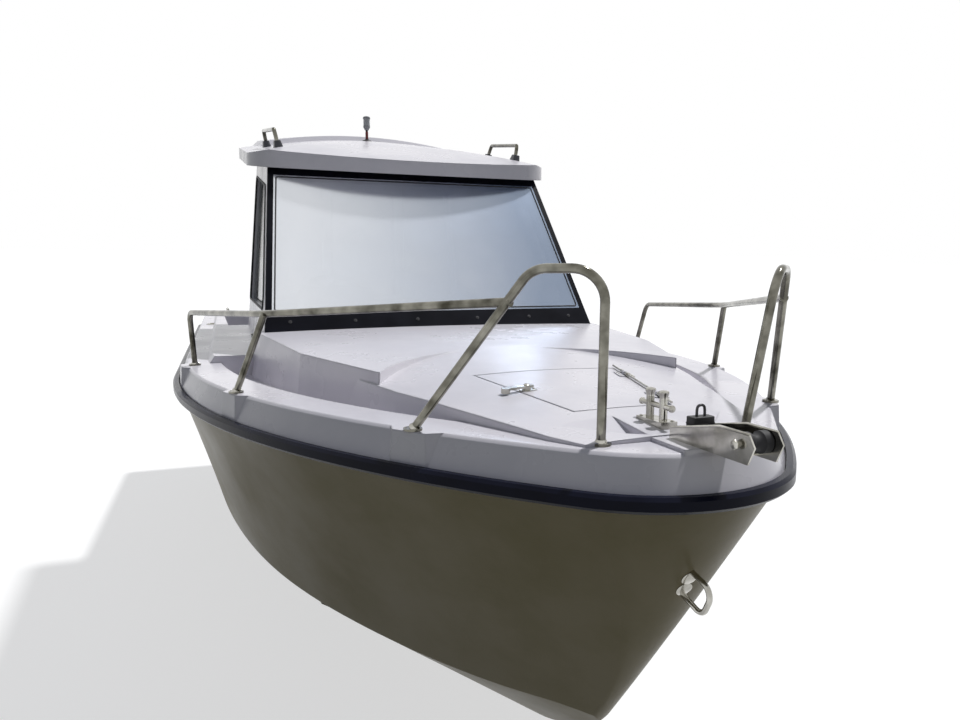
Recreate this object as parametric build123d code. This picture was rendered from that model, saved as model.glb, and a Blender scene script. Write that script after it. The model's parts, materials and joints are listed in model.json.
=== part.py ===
from build123d import *
import math
import os

# Pilothouse motor boat of the six metre class, afloat. Millimetres.
# X points to port, Y aft and Z up, with Z = 0 at the waterline and Y = 0 amidships.
# The pieces are drawn in the deck frame: the deck edge is level there, and its origin is the
# middle of the windscreen's foot. TRIM sets that frame on the water, bow up.

TRIM_ANGLE = 3.5
DECK_ORIGIN_Y = -880.0
DECK_ORIGIN_Z = 980.0
TRIM = Location((0, DECK_ORIGIN_Y, DECK_ORIGIN_Z), (-TRIM_ANGLE, 0, 0))
LEVEL = TRIM.inverse()

SEAT_GAP = 0.3
FAR = 3000.0

# Plan of the rub rail. Each arc has its radius and the heading at its aft end, in degrees
# from athwartships.
RAIL_ARCS = [(420.0, 44.5), (2960.0, 58.0), (2960.0, 81.7), (3850.0, 91.2)]
RAIL_NOSE_Y = -2055.0
STERN_Y = 3880.0
RAIL_HEIGHT = 38.0
RAIL_DEPTH = 24.0
RAIL_ROUND = 8.0
JOINT_Z = -250.0
SKIN_INSET = RAIL_DEPTH

# Hull sides run down to this outline below the keel
FOOT_ARCS = [(150.0, 45.0), (2520.0, 58.0), (2520.0, 79.2), (3400.0, 90.3)]
FOOT_NOSE_Y = -1215.0
FOOT_Z = -1450.0
TRANSOM_RAKE = 10.0
FOOT_STERN_Y = STERN_Y - (JOINT_Z - FOOT_Z) * math.tan(math.radians(TRANSOM_RAKE))

# Waist of the hull sides
WAIST_ARCS = [(100.0, 50.0), (9000.0, 56.0), (2150.0, 80.4), (3600.0, 90.8)]
WAIST_NOSE_Y = -1790.0
WAIST_Z = -700.0
WAIST_STERN_Y = STERN_Y - (JOINT_Z - WAIST_Z) * math.tan(math.radians(TRANSOM_RAKE))

# The bottom is ruled from the keel's profile to a second profile well outboard.
# Both run (y, z) from ahead of the stem, round a forefoot of FOREFOOT_RADIUS, to behind the stern.
KEEL_LINE = [(-2300.0, -575.0), (-993.0, -1424.5), (4100.0, -1110.0)]
KNEE_LINE = [(-2300.0, 1040.0), (-805.0, -575.0), (4100.0, -660.0)]
KNEE_REACH = 1400.0
FOREFOOT_RADIUS = 1500.0
BOTTOM_TOP = 1100.0

# Inside of the hull
HULL_WALL = 55.0
BOTTOM_WALL = 85.0
SOLE_HEIGHT = 100.0
CUDDY_FRONT_Y = -800.0
CAVITY_STERN_Y = 3230.0

# Spray rails under the bottom: distance from the centreline
SPRAY_RAILS = [330.0, 640.0]
SPRAY_RAIL_WIDTH = 38.0
SPRAY_RAIL_DROP = 14.0
SPRAY_RAIL_FRONT_Y = -650.0

# Deck moulding
TOE_RAIL_Z = -150.0
TOE_RAIL_INSET = 60.0
TOE_RAIL_WIDTH = 136.0
TOE_RAIL_BEVEL = 8.0
WALKWAY_Z = -210.0
WALKWAY_END_Y = 60.0
COAMING_Z = -120.0
COAMING_INSET = 150.0

# Trunk: port half of its foot and its top, place along the boat and half width
TRUNK_FOOT = [(40.0, 862.0), (-60.0, 856.0), (-640.0, 742.0), (-1092.0, 548.0)]
TRUNK_TOP = [(40.0, 812.0), (-60.0, 804.0), (-640.0, 716.0), (-1106.0, 540.0)]
TRUNK_FOOT_ARC_Y = -860.0
TRUNK_TOP_ARC_Y = -680.0
TRUNK_SILL_Z = -18.0
TRUNK_FALL = 2.7
TRUNK_CROWN = 12.0

# Foredeck plateau ahead of the trunk: place along the boat, half width at the foot, at the top
PLATEAU = [(-700.0, 690.0, 672.0), (-1119.0, 560.0, 538.0), (-1211.0, 530.0, 508.0), (-1345.0, 474.0, 452.0),
           (-1453.0, 434.0, 412.0), (-1552.0, 394.0, 372.0), (-1688.0, 340.0, 318.0), (-1774.0, 307.0, 285.0),
           (-1862.0, 257.0, 235.0)]
PLATEAU_SILL_Z = -38.0
PLATEAU_SILL_Y = -722.0
PLATEAU_FALL = 5.0
PLATEAU_CROWN = 52.0
PLATEAU_HALF = 702.0

# At the bow the foredeck drops away each side of a tongue that carries the roller
TONGUE_HALF = 75.0
DROP_START_Y = -1685.0
DROP_ANGLE = 18.0
DROP_FLOOR_Z = -176.0

# Cabin
SCREEN_FOOT_HALF = 800.0
SCREEN_TOP_HALF = 727.0
SCREEN_RUN = 493.0
SCREEN_RISE = 718.0
SCREEN_LENGTH = math.hypot(SCREEN_RUN, SCREEN_RISE)
SCREEN_FRAME = 30.0
SCREEN_GLASS = 8.0
SCREEN_FOOT_BAND = 87.0
SCREEN_SIDE_BAND = 40.0
SCREEN_HEAD_BAND = 9.0
SCREEN_REBATE = 12.0
CABIN_WALL = 42.0
CABIN_TAPER = math.tan(math.radians(1.2))
CABIN_LEAN = (SCREEN_FOOT_HALF - SCREEN_TOP_HALF - SCREEN_RUN * CABIN_TAPER) / SCREEN_RISE
CABIN_FRONT_Y = 42.0
CABIN_AFT_Y = 1980.0
WINDOW_GLASS = 6.0
WINDOW = [(175.0, 70.0), (610.0, 680.0), (1860.0, 880.0), (1860.0, 70.0)]
WINDOW_CORNER = 55.0

# Roof
ROOF_UNDER_Y = 662.0
ROOF_UNDER_Z = 783.0
ROOF_SLOPE = 9.4
ROOF_HALF = 812.0
ROOF_AFT_HALF = 770.0
ROOF_FRONT_Y = 395.0
ROOF_CORNER_Y = 690.0
ROOF_AFT_Y = 2330.0
ROOF_EDGE = 52.0
ROOF_CROWN = 112.0
ROOF_NOSE_LINE = [(700.0, 905.0), (1100.0, 1003.0), (2400.0, 1308.0)]
# Raised part at the back of the roof
RAISED_RISE = 30.0
RAISED_HALF = 650.0
RAISED_FRONT_Y = 1600.0
RAISED_AFT_Y = 2290.0
RAISED_SLOPE_REACH = 60.0

pieces = {}


def radians_tan(angle):
    return math.tan(math.radians(angle))


def block(x0, x1, y0, y1, z0, z1):
    """Box between two corners."""
    return Pos((x0 + x1) / 2, (y0 + y1) / 2, (z0 + z1) / 2) * Box(x1 - x0, y1 - y0, z1 - z0)


def flat(points):
    """Face inside a closed polygon."""
    return Face(Wire.make_polygon([Vector(*p) for p in points], close=True))


def plan_face(arcs, nose_y, stern_y, inset=0.0, z=0.0):
    """Face of a boat-shaped outline, moved in by inset."""
    radius, heading = arcs[0]
    centre = Vector(0, nose_y + radius)
    nose = CenterArc((centre.X, centre.Y), radius - inset, -90 - heading, 2 * heading)
    side = []
    for next_radius, next_heading in arcs[1:]:
        toward = Vector(math.sin(math.radians(heading)), -math.cos(math.radians(heading)))
        centre -= toward * (next_radius - radius)
        turn = next_heading - heading
        side.append(CenterArc((centre.X, centre.Y), next_radius - inset, heading - 90, turn))
        radius, heading = next_radius, next_heading
    last = side[-1] @ 1
    stern = Vector(last.X - (stern_y - last.Y) * radians_tan(heading - 90), stern_y)
    side.append(Line(last, stern))
    mirrored = [edge.mirror(Plane.YZ) for edge in side]
    across = Line(stern, Vector(-stern.X, stern.Y))
    return Pos(0, 0, z) * Face(Wire([nose, *side, across, *mirrored]))


def rail_face(inset, z):
    return plan_face(RAIL_ARCS, RAIL_NOSE_Y, STERN_Y, inset, z)


def camber_body(edge_z, crown, half, start, slope, length, depth):
    """Long body with a crowned top, rising aft by slope from the point start = (y, z)."""
    y, z = start
    frame = Plane(origin=(0, y, z + edge_z), x_dir=(1, 0, 0),
                  z_dir=(0, math.cos(math.radians(slope)), math.sin(math.radians(slope))))
    # The frame's own Y points down here, so heights are taken with a minus sign
    top = ThreePointArc((-half, 0), (0, -crown), (half, 0))
    rest = Polyline((half, 0), (half, depth), (-half, depth), (-half, 0))
    return extrude(frame * make_face([*top.edges(), *rest.edges()]), length)


def tube(points, radii, radius):
    """Round bar along straight runs joined by tangent arcs."""
    path = FilletPolyline(*points, radius=radii) if radii else Polyline(*points)
    start = path @ 0
    frame = Plane(origin=start, z_dir=path % 0)
    return sweep(frame * Circle(radius), path)


def largest(shape):
    """The biggest solid of a cut shape."""
    return max(shape.solids(), key=lambda solid: solid.volume)


def slab(face, thickness):
    """Plate under a face that lies in its own XY plane."""
    return extrude(face, thickness, dir=(0, 0, -1))


def both(shape):
    """The shape and its mirror image."""
    return [shape, mirror(shape, about=Plane.YZ)]


# Planes of the cabin
screen_plane = Plane(origin=(0, 0, 0), x_dir=(1, 0, 0), z_dir=(0, -SCREEN_RISE, SCREEN_RUN))
roof_plane = Plane(origin=(0, ROOF_UNDER_Y, ROOF_UNDER_Z), x_dir=(1, 0, 0),
                   z_dir=(0, -math.sin(math.radians(ROOF_SLOPE)), math.cos(math.radians(ROOF_SLOPE))))
above_roof = extrude(roof_plane * Rectangle(FAR, 2 * FAR), FAR / 2)


def cabin_half(y, z):
    """Outer half width of the cabin."""
    return SCREEN_FOOT_HALF - CABIN_TAPER * y - CABIN_LEAN * z


def side_plane(inset):
    return Plane(origin=(cabin_half(0, 0) - inset, 0, 0), x_dir=(-CABIN_TAPER, 1, 0),
                 z_dir=(1, CABIN_TAPER, CABIN_LEAN))


def side_points(points, inset=0.0):
    """Points (y, z) on the port cabin side, in that side's plane."""
    plane = side_plane(inset)
    return [plane.to_local_coords(Vector(cabin_half(y, z) - inset, y, z)) for y, z in points]


def bottom_profile(line, x):
    """Fore-and-aft face above a keel or knee line, at x from the centreline."""
    low = FilletPolyline(*line, radius=FOREFOOT_RADIUS)
    lid = Polyline((line[-1][0], line[-1][1]), (line[-1][0], BOTTOM_TOP), (line[0][0], BOTTOM_TOP), line[0])
    return Pos(x, 0, 0) * (Plane.YZ * make_face([*low.edges(), *lid.edges()]))


# Hull
def above_bottom():
    """Everything above the planes of the hull's bottom."""
    half = loft([bottom_profile(KEEL_LINE, 0), bottom_profile(KNEE_LINE, KNEE_REACH)], ruled=True)
    return half + mirror(half, about=Plane.YZ)


def make_hull():
    top = rail_face(SKIN_INSET, JOINT_Z)
    waist = plan_face(WAIST_ARCS, WAIST_NOSE_Y, WAIST_STERN_Y, 0, WAIST_Z)
    foot = plan_face(FOOT_ARCS, FOOT_NOSE_Y, FOOT_STERN_Y, 0, FOOT_Z)
    sides = loft([top, waist, foot])
    bottom = above_bottom()
    lowered = Pos(0, 0, -SPRAY_RAIL_DROP) * bottom
    hull = sides & bottom
    for x in SPRAY_RAILS:
        strip = block(x, x + SPRAY_RAIL_WIDTH, SPRAY_RAIL_FRONT_Y, STERN_Y, FOOT_Z, WAIST_Z) & lowered & sides
        for rail in both(strip):
            hull += rail
    return hull - hull_cavity(0) - splash_well() - hatch_well()


def hull_cavity(gap):
    """Space inside the hull above the sole, drawn in by gap."""
    inner_top = rail_face(SKIN_INSET + HULL_WALL + gap, JOINT_Z)
    inner_foot = plan_face(FOOT_ARCS, FOOT_NOSE_Y, FOOT_STERN_Y, HULL_WALL + gap, FOOT_Z)
    cavity = loft([inner_top, inner_foot], ruled=True)
    cavity &= block(-FAR, FAR, CUDDY_FRONT_Y + gap, CAVITY_STERN_Y - gap, FOOT_Z, 0)
    cavity &= Pos(0, 0, BOTTOM_WALL + gap) * above_bottom()
    return cavity & (LEVEL * block(-FAR, FAR, -2 * FAR, 2 * FAR, SOLE_HEIGHT + gap, FAR))


WELL_HALF = 400.0
WELL_FRONT_Y = 3290.0
WELL_FLOOR_Z = -560.0
TRANSOM_TOP_Z = -495.0
TRANSOM_CUT_HALF = 330.0
TRANSOM_THICK = 60.0


def transom_y(z):
    """Outer face of the transom at a height."""
    return STERN_Y - (JOINT_Z - z) * radians_tan(TRANSOM_RAKE)


def splash_well():
    """Space for the tilted engine, with the transom's cut-out."""
    inner = transom_y(TRANSOM_TOP_Z) - TRANSOM_THICK
    well = block(-WELL_HALF, WELL_HALF, WELL_FRONT_Y, inner, WELL_FLOOR_Z, 0)
    return well + block(-TRANSOM_CUT_HALF, TRANSOM_CUT_HALF, inner - 10, STERN_Y + 200, TRANSOM_TOP_Z, 0)


# Deck
def make_trunk():
    def outline(points, arc_y, height):
        side = [Vector(half, y, height) for y, half in points]
        other = [Vector(-p.X, p.Y, p.Z) for p in reversed(side)]
        arc = ThreePointArc(side[-1], Vector(0, arc_y, height), other[0])
        return Face(Wire([*Polyline(*side).edges(), arc, *Polyline(*other).edges(),
                          Line(other[-1], side[0])]))
    foot = outline(TRUNK_FOOT, TRUNK_FOOT_ARC_Y, WALKWAY_Z - 10)
    top = outline(TRUNK_TOP, TRUNK_TOP_ARC_Y, 60.0)
    body = loft([foot, top], ruled=True)
    front_y = TRUNK_FOOT[-1][0] - 308
    aft_y = TRUNK_FOOT[0][0]
    half = TRUNK_FOOT[0][1] + 38
    front = (front_y, TRUNK_SILL_Z - (aft_y - front_y) * radians_tan(TRUNK_FALL))
    return body & camber_body(0, TRUNK_CROWN, half, front, TRUNK_FALL, aft_y - front_y + 160, 600)


def make_plateau():
    def outline(column, z):
        side = [(row[column], row[0], z) for row in PLATEAU]
        return flat(side + [(-x, y, z) for x, y, z in reversed(side)])
    body = loft([outline(1, WALKWAY_Z - 10), outline(2, 0)], ruled=True)
    drop = (PLATEAU_SILL_Y + 2000) * radians_tan(PLATEAU_FALL)
    cap = camber_body(0, PLATEAU_CROWN, PLATEAU_HALF,
                      (-2000, PLATEAU_SILL_Z - PLATEAU_CROWN - drop), PLATEAU_FALL, 1500, 600)
    return body & cap


def make_deck():
    bevel = TOE_RAIL_BEVEL
    deck = loft([rail_face(SKIN_INSET, JOINT_Z), rail_face(TOE_RAIL_INSET - bevel / 2, TOE_RAIL_Z - bevel),
                 rail_face(TOE_RAIL_INSET + bevel / 2, TOE_RAIL_Z)], ruled=True)
    walk = extrude(rail_face(TOE_RAIL_INSET + TOE_RAIL_WIDTH, WALKWAY_Z), 400)
    deck -= walk & block(-FAR, FAR, -FAR, WALKWAY_END_Y, -FAR, FAR)
    coaming = loft([rail_face(COAMING_INSET, TOE_RAIL_Z), rail_face(COAMING_INSET + 20, COAMING_Z)], ruled=True)
    deck += coaming & block(-FAR, FAR, WALKWAY_END_Y, FAR * 2, -FAR, FAR)
    deck += make_trunk()
    deck += make_plateau()
    deck -= bow_drop()
    y0 = CABIN_FRONT_Y + 20
    well = extrude(flat([(cabin_half(0, COAMING_Z) - WELL_SIDE, y0, -300),
                         (cabin_half(CABIN_AFT_Y, COAMING_Z) - WELL_SIDE, CABIN_AFT_Y + 40, -300),
                         (-cabin_half(CABIN_AFT_Y, COAMING_Z) + WELL_SIDE, CABIN_AFT_Y + 40, -300),
                         (-cabin_half(0, COAMING_Z) + WELL_SIDE, y0, -300)]), 600)
    well += block(-COCKPIT_HALF, COCKPIT_HALF, CABIN_AFT_Y + 40, CAVITY_STERN_Y, -300, 300)
    cuddy = block(-CUDDY_HALF, CUDDY_HALF, CUDDY_FRONT_Y, y0 + 1, -300, -70)
    return deck - well - cuddy - splash_well() - hatch_space(SEAT_GAP) - hatch_well()


def bow_drop():
    """Space over the sloping floor each side of the tongue at the bow."""
    inside = extrude(rail_face(TOE_RAIL_INSET + TOE_RAIL_WIDTH, DROP_FLOOR_Z), 300)
    slope = Plane(origin=(0, DROP_START_Y, foredeck_z(DROP_START_Y)), x_dir=(1, 0, 0),
                  z_dir=(0, -math.sin(math.radians(DROP_ANGLE)), math.cos(math.radians(DROP_ANGLE))))
    over = slope * (Pos(0, -FAR / 2, FAR / 2) * Box(FAR, FAR, FAR))
    return (inside & over) - block(-TONGUE_HALF, TONGUE_HALF, -FAR, 0, -FAR, FAR)


COCKPIT_HALF = 900.0
CUDDY_HALF = 480.0

# Foredeck hatch: place along the boat and half width
HATCH = [(-1150.0, 252.0), (-1620.0, 148.0)]
HATCH_THICK = 22.0
HATCH_GAP = 4.0
HATCH_DRAFT = 8.0
HATCH_LEDGE = 22.0
HATCH_HINGE_PLACES = [0.22, 0.8]
HATCH_ROD = 500.0
HINGE_LIFT = 8.0
HINGE_RADIUS = 6.0
HINGE_PIN = 3.2
HINGE_LENGTH = 60.0
HINGE_LEAF = 26.0
HATCH_WELL_DEPTH = 290.0


def foredeck_plane():
    drop = (PLATEAU_SILL_Y - HATCH[0][0]) * radians_tan(PLATEAU_FALL)
    angle = math.radians(PLATEAU_FALL)
    return Plane(origin=(0, HATCH[0][0], PLATEAU_SILL_Z - drop), x_dir=(1, 0, 0),
                 z_dir=(0, -math.sin(angle), math.cos(angle)))


def hatch_outline(grow):
    length = HATCH[0][0] - HATCH[1][0]
    return flat([(HATCH[0][1] + grow, grow, 0), (-HATCH[0][1] - grow, grow, 0),
                 (-HATCH[1][1] - grow, -length - grow, 0), (HATCH[1][1] + grow, -length - grow, 0)])


def hatch_space(gap):
    return foredeck_plane() * (Pos(0, 0, -HATCH_THICK - 12) * extrude(hatch_outline(HATCH_GAP), 200))


def hatch_well():
    """Locker under the foredeck hatch."""
    return foredeck_plane() * (Pos(0, 0, -HATCH_WELL_DEPTH) * extrude(hatch_outline(-HATCH_LEDGE), 300))


def make_hatch():
    """Lid with drafted edges, and the knuckles of its hinges."""
    flange = loft([Pos(0, 0, -HATCH_THICK - 8) * hatch_outline(-HATCH_DRAFT), hatch_outline(0)], ruled=True)
    top = foredeck_plane() * (flange + extrude(hatch_outline(0), 200))
    drop = (PLATEAU_SILL_Y + 2000) * radians_tan(PLATEAU_FALL)
    cap = camber_body(0, PLATEAU_CROWN, PLATEAU_HALF,
                      (-2000, PLATEAU_SILL_Z - PLATEAU_CROWN - drop), PLATEAU_FALL, 1500, 600)
    return (top & cap) + hatch_hinges(moving=True)


def foredeck_dip(x):
    """Fall of the cambered foredeck below its plane, at x from the centreline."""
    return PLATEAU_CROWN * (x / PLATEAU_HALF) ** 2


def hatch_hinges(moving):
    """Two hinges on the port edge: the lid's leaves and knuckles, or the deck's with the pins."""
    (y0, x0), (y1, x1) = HATCH
    start = Vector(x0 + 2, 0, HINGE_LIFT - foredeck_dip(x0))
    end = Vector(x1 + 2, y1 - y0, HINGE_LIFT - foredeck_dip(x1))
    along = (end - start).normalized()
    middle = (x0 + x1) / 2
    normal = Vector(2 * foredeck_dip(middle) / middle, 0, 1).normalized()
    normal = (normal - along * normal.dot(along)).normalized()
    frame = foredeck_plane() * Plane(origin=start, x_dir=along, z_dir=normal).location
    hinges = []
    rod = Pos((end - start).length / 2, 0, 0) * (Rot(0, 90, 0) * Cylinder(HINGE_PIN, HATCH_ROD))
    for share in HATCH_HINGE_PLACES:
        place = Pos(share * (end - start).length, 0, 0)
        hinges.append(frame * place * butt_hinge(moving, HINGE_RADIUS, HINGE_PIN, HINGE_LENGTH, HINGE_LEAF,
                                                 HINGE_LIFT, 2.0))
    pair = hinges[0] + hinges[1]
    return pair if moving else pair + frame * rod


def butt_hinge(moving, radius, pin_radius, length, leaf_reach, lift, sink):
    """Hinge along X with its pin at the origin. The fixed half, with the pin, lies toward +Y on a
    surface lift below the pin. The moving half lies toward -Y and reaches sink deeper."""
    third = length / 3
    turn = Rot(0, 90, 0)
    thick = 3.0
    if moving:
        low = -lift - sink
        side = block(-length / 2, length / 2, -leaf_reach, -radius, low, -lift + thick)
        side += block(-third / 2 + SEAT_GAP, third / 2 - SEAT_GAP, -leaf_reach / 2, 0, low, -lift + thick)
        side += block(-third / 2 + SEAT_GAP, third / 2 - SEAT_GAP, -radius, 0, low, 0)
        knuckle = turn * Cylinder(radius, third - 2 * SEAT_GAP)
        return knuckle + side - turn * Cylinder(pin_radius + SEAT_GAP, length)
    low = -lift + SEAT_GAP
    side = block(-length / 2, length / 2, radius, leaf_reach, low, -lift + thick)
    shape = side + turn * Cylinder(pin_radius, length)
    for x in (-third, third):
        shape += Pos(x, 0, 0) * (turn * Cylinder(radius, third))
        shape += block(x - third / 2, x + third / 2, 0, radius, low, 0)
        shape += block(x - third / 2, x + third / 2, 0, leaf_reach / 2, low, -lift + thick)
    return shape


def make_rub_rail():
    low = JOINT_Z - RAIL_HEIGHT / 2
    levels = [(RAIL_ROUND, 0), (0, RAIL_ROUND), (0, RAIL_HEIGHT - RAIL_ROUND), (RAIL_ROUND, RAIL_HEIGHT)]
    band = loft([rail_face(inset, low + rise) for inset, rise in levels], ruled=True)
    core = extrude(rail_face(RAIL_DEPTH - SEAT_GAP, JOINT_Z - RAIL_HEIGHT), RAIL_HEIGHT * 2)
    ring = band - core
    return ring - block(-FAR, FAR, STERN_Y - 40, FAR * 2, -FAR, FAR)


def make_screen():
    half = SCREEN_FOOT_HALF
    foot_half = half + (half - SCREEN_TOP_HALF) * 60 / SCREEN_LENGTH
    top_half = SCREEN_TOP_HALF - (half - SCREEN_TOP_HALF) * 120 / SCREEN_LENGTH
    frame = screen_plane * extrude(flat([(foot_half, -60, 0), (top_half, SCREEN_LENGTH + 120, 0),
                                         (-top_half, SCREEN_LENGTH + 120, 0), (-foot_half, -60, 0)]), -SCREEN_FRAME)
    lean = (half - SCREEN_TOP_HALF) / SCREEN_LENGTH

    def opening(grow):
        low = SCREEN_FOOT_BAND - grow
        high = SCREEN_LENGTH - SCREEN_HEAD_BAND + grow
        x_low = half - lean * low - SCREEN_SIDE_BAND + grow
        x_high = half - lean * high - SCREEN_SIDE_BAND + grow
        return flat([(x_low, low, 0), (x_high, high, 0), (-x_high, high, 0), (-x_low, low, 0)])
    frame -= screen_plane * (Pos(0, 0, -FAR / 2) * extrude(opening(0), FAR))
    frame -= screen_plane * extrude(opening(SCREEN_REBATE), -SCREEN_GLASS - SEAT_GAP)
    frame = frame - above_roof - pieces["deck"]
    glass = screen_plane * extrude(opening(SCREEN_REBATE - SEAT_GAP), -SCREEN_GLASS)
    return frame, glass


def make_side():
    """Port cabin side with its window, and the glass."""
    back = SCREEN_FRAME + SEAT_GAP
    rise_at = lambda y: (y * SCREEN_RISE - back * SCREEN_LENGTH) / SCREEN_RUN
    top_y = 620.0
    outline = side_points([(CABIN_FRONT_Y, COAMING_Z), (CABIN_FRONT_Y, rise_at(CABIN_FRONT_Y)),
                           (top_y, rise_at(top_y)), (CABIN_AFT_Y, 1250.0), (CABIN_AFT_Y, COAMING_Z)])
    panel = side_plane(0) * slab(flat([tuple(p) for p in outline]), CABIN_WALL)
    window = fillet(flat([tuple(p) for p in side_points(WINDOW)]).vertices(), WINDOW_CORNER)
    opening = side_plane(0) * (Pos(0, 0, CABIN_WALL) * slab(window, 3 * CABIN_WALL))
    panel = panel - opening - above_roof - block(-FAR, FAR, -FAR, FAR, -FAR, COAMING_Z)
    glass = side_plane(0) * Pos(0, 0, -CABIN_WALL / 2) * slab(offset(window, -SEAT_GAP), WINDOW_GLASS)
    return panel, glass


def make_roof():
    corner = (ROOF_HALF, ROOF_CORNER_Y)
    bend = (ROOF_HALF * 0.955, ROOF_CORNER_Y - 150)
    front = (ROOF_HALF * 0.82, ROOF_CORNER_Y - 225)
    aft = (ROOF_AFT_HALF, ROOF_AFT_Y)
    port = [Line(aft, corner), ThreePointArc(corner, bend, front)]
    starboard = [edge.mirror(Plane.YZ) for edge in port]
    bow = ThreePointArc(front, (0, ROOF_FRONT_Y), (-front[0], front[1]))
    stern = Line((-aft[0], aft[1]), aft)
    plan = Face(Wire([*port, bow, starboard[1], starboard[0], stern]))
    prism = Pos(0, 0, 500) * extrude(plan, 900, dir=(0, 0, 1))
    start = (300, ROOF_UNDER_Z - (ROOF_UNDER_Y - 300) * radians_tan(ROOF_SLOPE))
    cap = camber_body(ROOF_EDGE, ROOF_CROWN, ROOF_HALF + 40, start, ROOF_SLOPE, 2300, ROOF_EDGE)
    bend, crest, end = ROOF_NOSE_LINE
    tip = (ROOF_FRONT_Y - 5, 806)
    low_front = (tip[0], 400)
    low_aft = (end[0], 400)
    outline = [Line(low_front, tip), ThreePointArc(tip, bend, crest), Line(crest, end), Line(end, low_aft),
               Line(low_aft, low_front)]
    nose = extrude(Plane.YZ * make_face([line.edge() for line in outline]), FAR, both=True)
    return (prism & cap & nose & above_roof) + raised_roof(start)


def raised_roof(start):
    """Raised part at the back, with bevelled edges."""
    cap = camber_body(ROOF_EDGE + RAISED_RISE, ROOF_CROWN, ROOF_HALF + 40, start, ROOF_SLOPE, 2300, RAISED_RISE + 60)
    height = ROOF_EDGE + RAISED_RISE + ROOF_CROWN * (1 - (RAISED_HALF / ROOF_HALF) ** 2)
    cosine = math.cos(math.radians(ROOF_SLOPE))
    front = (RAISED_FRONT_Y - ROOF_UNDER_Y) / cosine
    aft = (RAISED_AFT_Y - ROOF_UNDER_Y) / cosine
    sections = []
    for reach in (RAISED_SLOPE_REACH, -2 * RAISED_SLOPE_REACH):
        half = RAISED_HALF + reach
        length = aft - front + reach
        sections.append(Pos(0, aft - length / 2, height - reach) * Rectangle(2 * half, length))
    return cap & (roof_plane * loft(sections, ruled=True))


def cabin_section(y, gap, z0, z1):
    """Inner outline of the cabin across the boat at y."""
    inner = CABIN_WALL * 1.02 + gap
    return [(cabin_half(y, z0) - inner, z0), (cabin_half(y, z1) - inner, z1),
            (-cabin_half(y, z1) + inner, z1), (-cabin_half(y, z0) + inner, z0)]


def make_bulkhead():
    y = CABIN_AFT_Y - BULKHEAD_THICK
    points = cabin_section(CABIN_AFT_Y, SEAT_GAP * 3, COAMING_Z, 1150)
    upper = extrude(flat([(x, y, z) for x, z in points]), BULKHEAD_THICK, dir=(0, 1, 0))
    half = cabin_half(CABIN_AFT_Y, COAMING_Z) - WELL_SIDE - SEAT_GAP
    middle = block(-half, half, y, CABIN_AFT_Y, JOINT_Z - 1, COAMING_Z)
    lower = hull_cavity(SEAT_GAP) & block(-FAR, FAR, y, CABIN_AFT_Y, FOOT_Z, JOINT_Z - SEAT_GAP)
    x0, x1 = DOOR_X
    gap = DOOR_GAP
    doorway = block(x0 - gap, x1 + gap, y - 50, y + 200, -900, DOOR_TOP_Z + gap)
    return upper + middle + lower - doorway - above_roof


WELL_SIDE = 60.0
BULKHEAD_THICK = 40.0
DOOR_X = (-250.0, 330.0)
DOOR_TOP_Z = 900.0
DOOR_FOOT_Z = -700.0
DOOR_GAP = 6.0
DOOR_THICK = 36.0
DOOR_HINGE_PLACES = [-520.0, 90.0, 700.0]
DOOR_HINGE_RADIUS = 8.0
DOOR_HINGE_PIN = 3.0
DOOR_HINGE_LENGTH = 90.0
DOOR_HINGE_LEAF = 38.0
DOOR_HINGE_LIFT = 8.3


def make_door():
    y1 = CABIN_AFT_Y - 2
    x0, x1 = DOOR_X
    door = block(x0, x1, y1 - DOOR_THICK, y1, DOOR_FOOT_Z, DOOR_TOP_Z)
    pane = block(x0 + 70, x1 - 70, y1 - DOOR_THICK, y1, 80, DOOR_TOP_Z - 90)
    door -= pane
    glass = block(x0 + 70 + SEAT_GAP, x1 - 70 - SEAT_GAP, y1 - DOOR_THICK / 2 - 3, y1 - DOOR_THICK / 2 + 3,
                  80 + SEAT_GAP, DOOR_TOP_Z - 90 - SEAT_GAP)
    return door + door_hinges(moving=True), glass


def door_hinges(moving):
    """The door's three hinges, on the after faces of the door and the bulkhead."""
    shape = None
    for z in DOOR_HINGE_PLACES:
        frame = Plane(origin=(DOOR_X[1] + DOOR_GAP / 2, CABIN_AFT_Y + DOOR_HINGE_LIFT, z), x_dir=(0, 0, 1),
                      z_dir=(0, 1, 0))
        hinge = frame * butt_hinge(moving, DOOR_HINGE_RADIUS, DOOR_HINGE_PIN, DOOR_HINGE_LENGTH,
                                   DOOR_HINGE_LEAF, DOOR_HINGE_LIFT, 4.0)
        shape = hinge if shape is None else shape + hinge
    return shape


# Pulpit, port side
TUBE_RADIUS = 11.0
ARCH_ROUTE = [(563, -1549, TOE_RAIL_Z), (358, -1804, 250), (232, -1909, 250), (203, -1852, TOE_RAIL_Z)]
ARCH_BEND = 72.0
SIDE_RAIL_ROUTE = [(1090, 15, TOE_RAIL_Z), (1101, -65, 78), (868, -949, 114), (391, -1765, 175)]
SIDE_RAIL_BENDS = [60.0, 900.0]
STANCHION_ROUTE = [(954, -796, TOE_RAIL_Z), (868, -949, 114)]
FOOT_RADIUS = 24.0
FOOT_PLATE = 6.0
PULPIT_FEET = [ARCH_ROUTE[0], ARCH_ROUTE[-1], SIDE_RAIL_ROUTE[0], STANCHION_ROUTE[0]]


def make_pulpit():
    arch = tube(ARCH_ROUTE, ARCH_BEND, TUBE_RADIUS)
    rail = tube(SIDE_RAIL_ROUTE, SIDE_RAIL_BENDS, TUBE_RADIUS)
    stanchion = tube(STANCHION_ROUTE, None, TUBE_RADIUS)
    pulpit = arch + rail + stanchion
    for x, y, z in PULPIT_FEET:
        pulpit += Pos(x, y, z + FOOT_PLATE / 2) * Cylinder(FOOT_RADIUS, FOOT_PLATE)
    return largest(pulpit - pieces["deck"])


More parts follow.
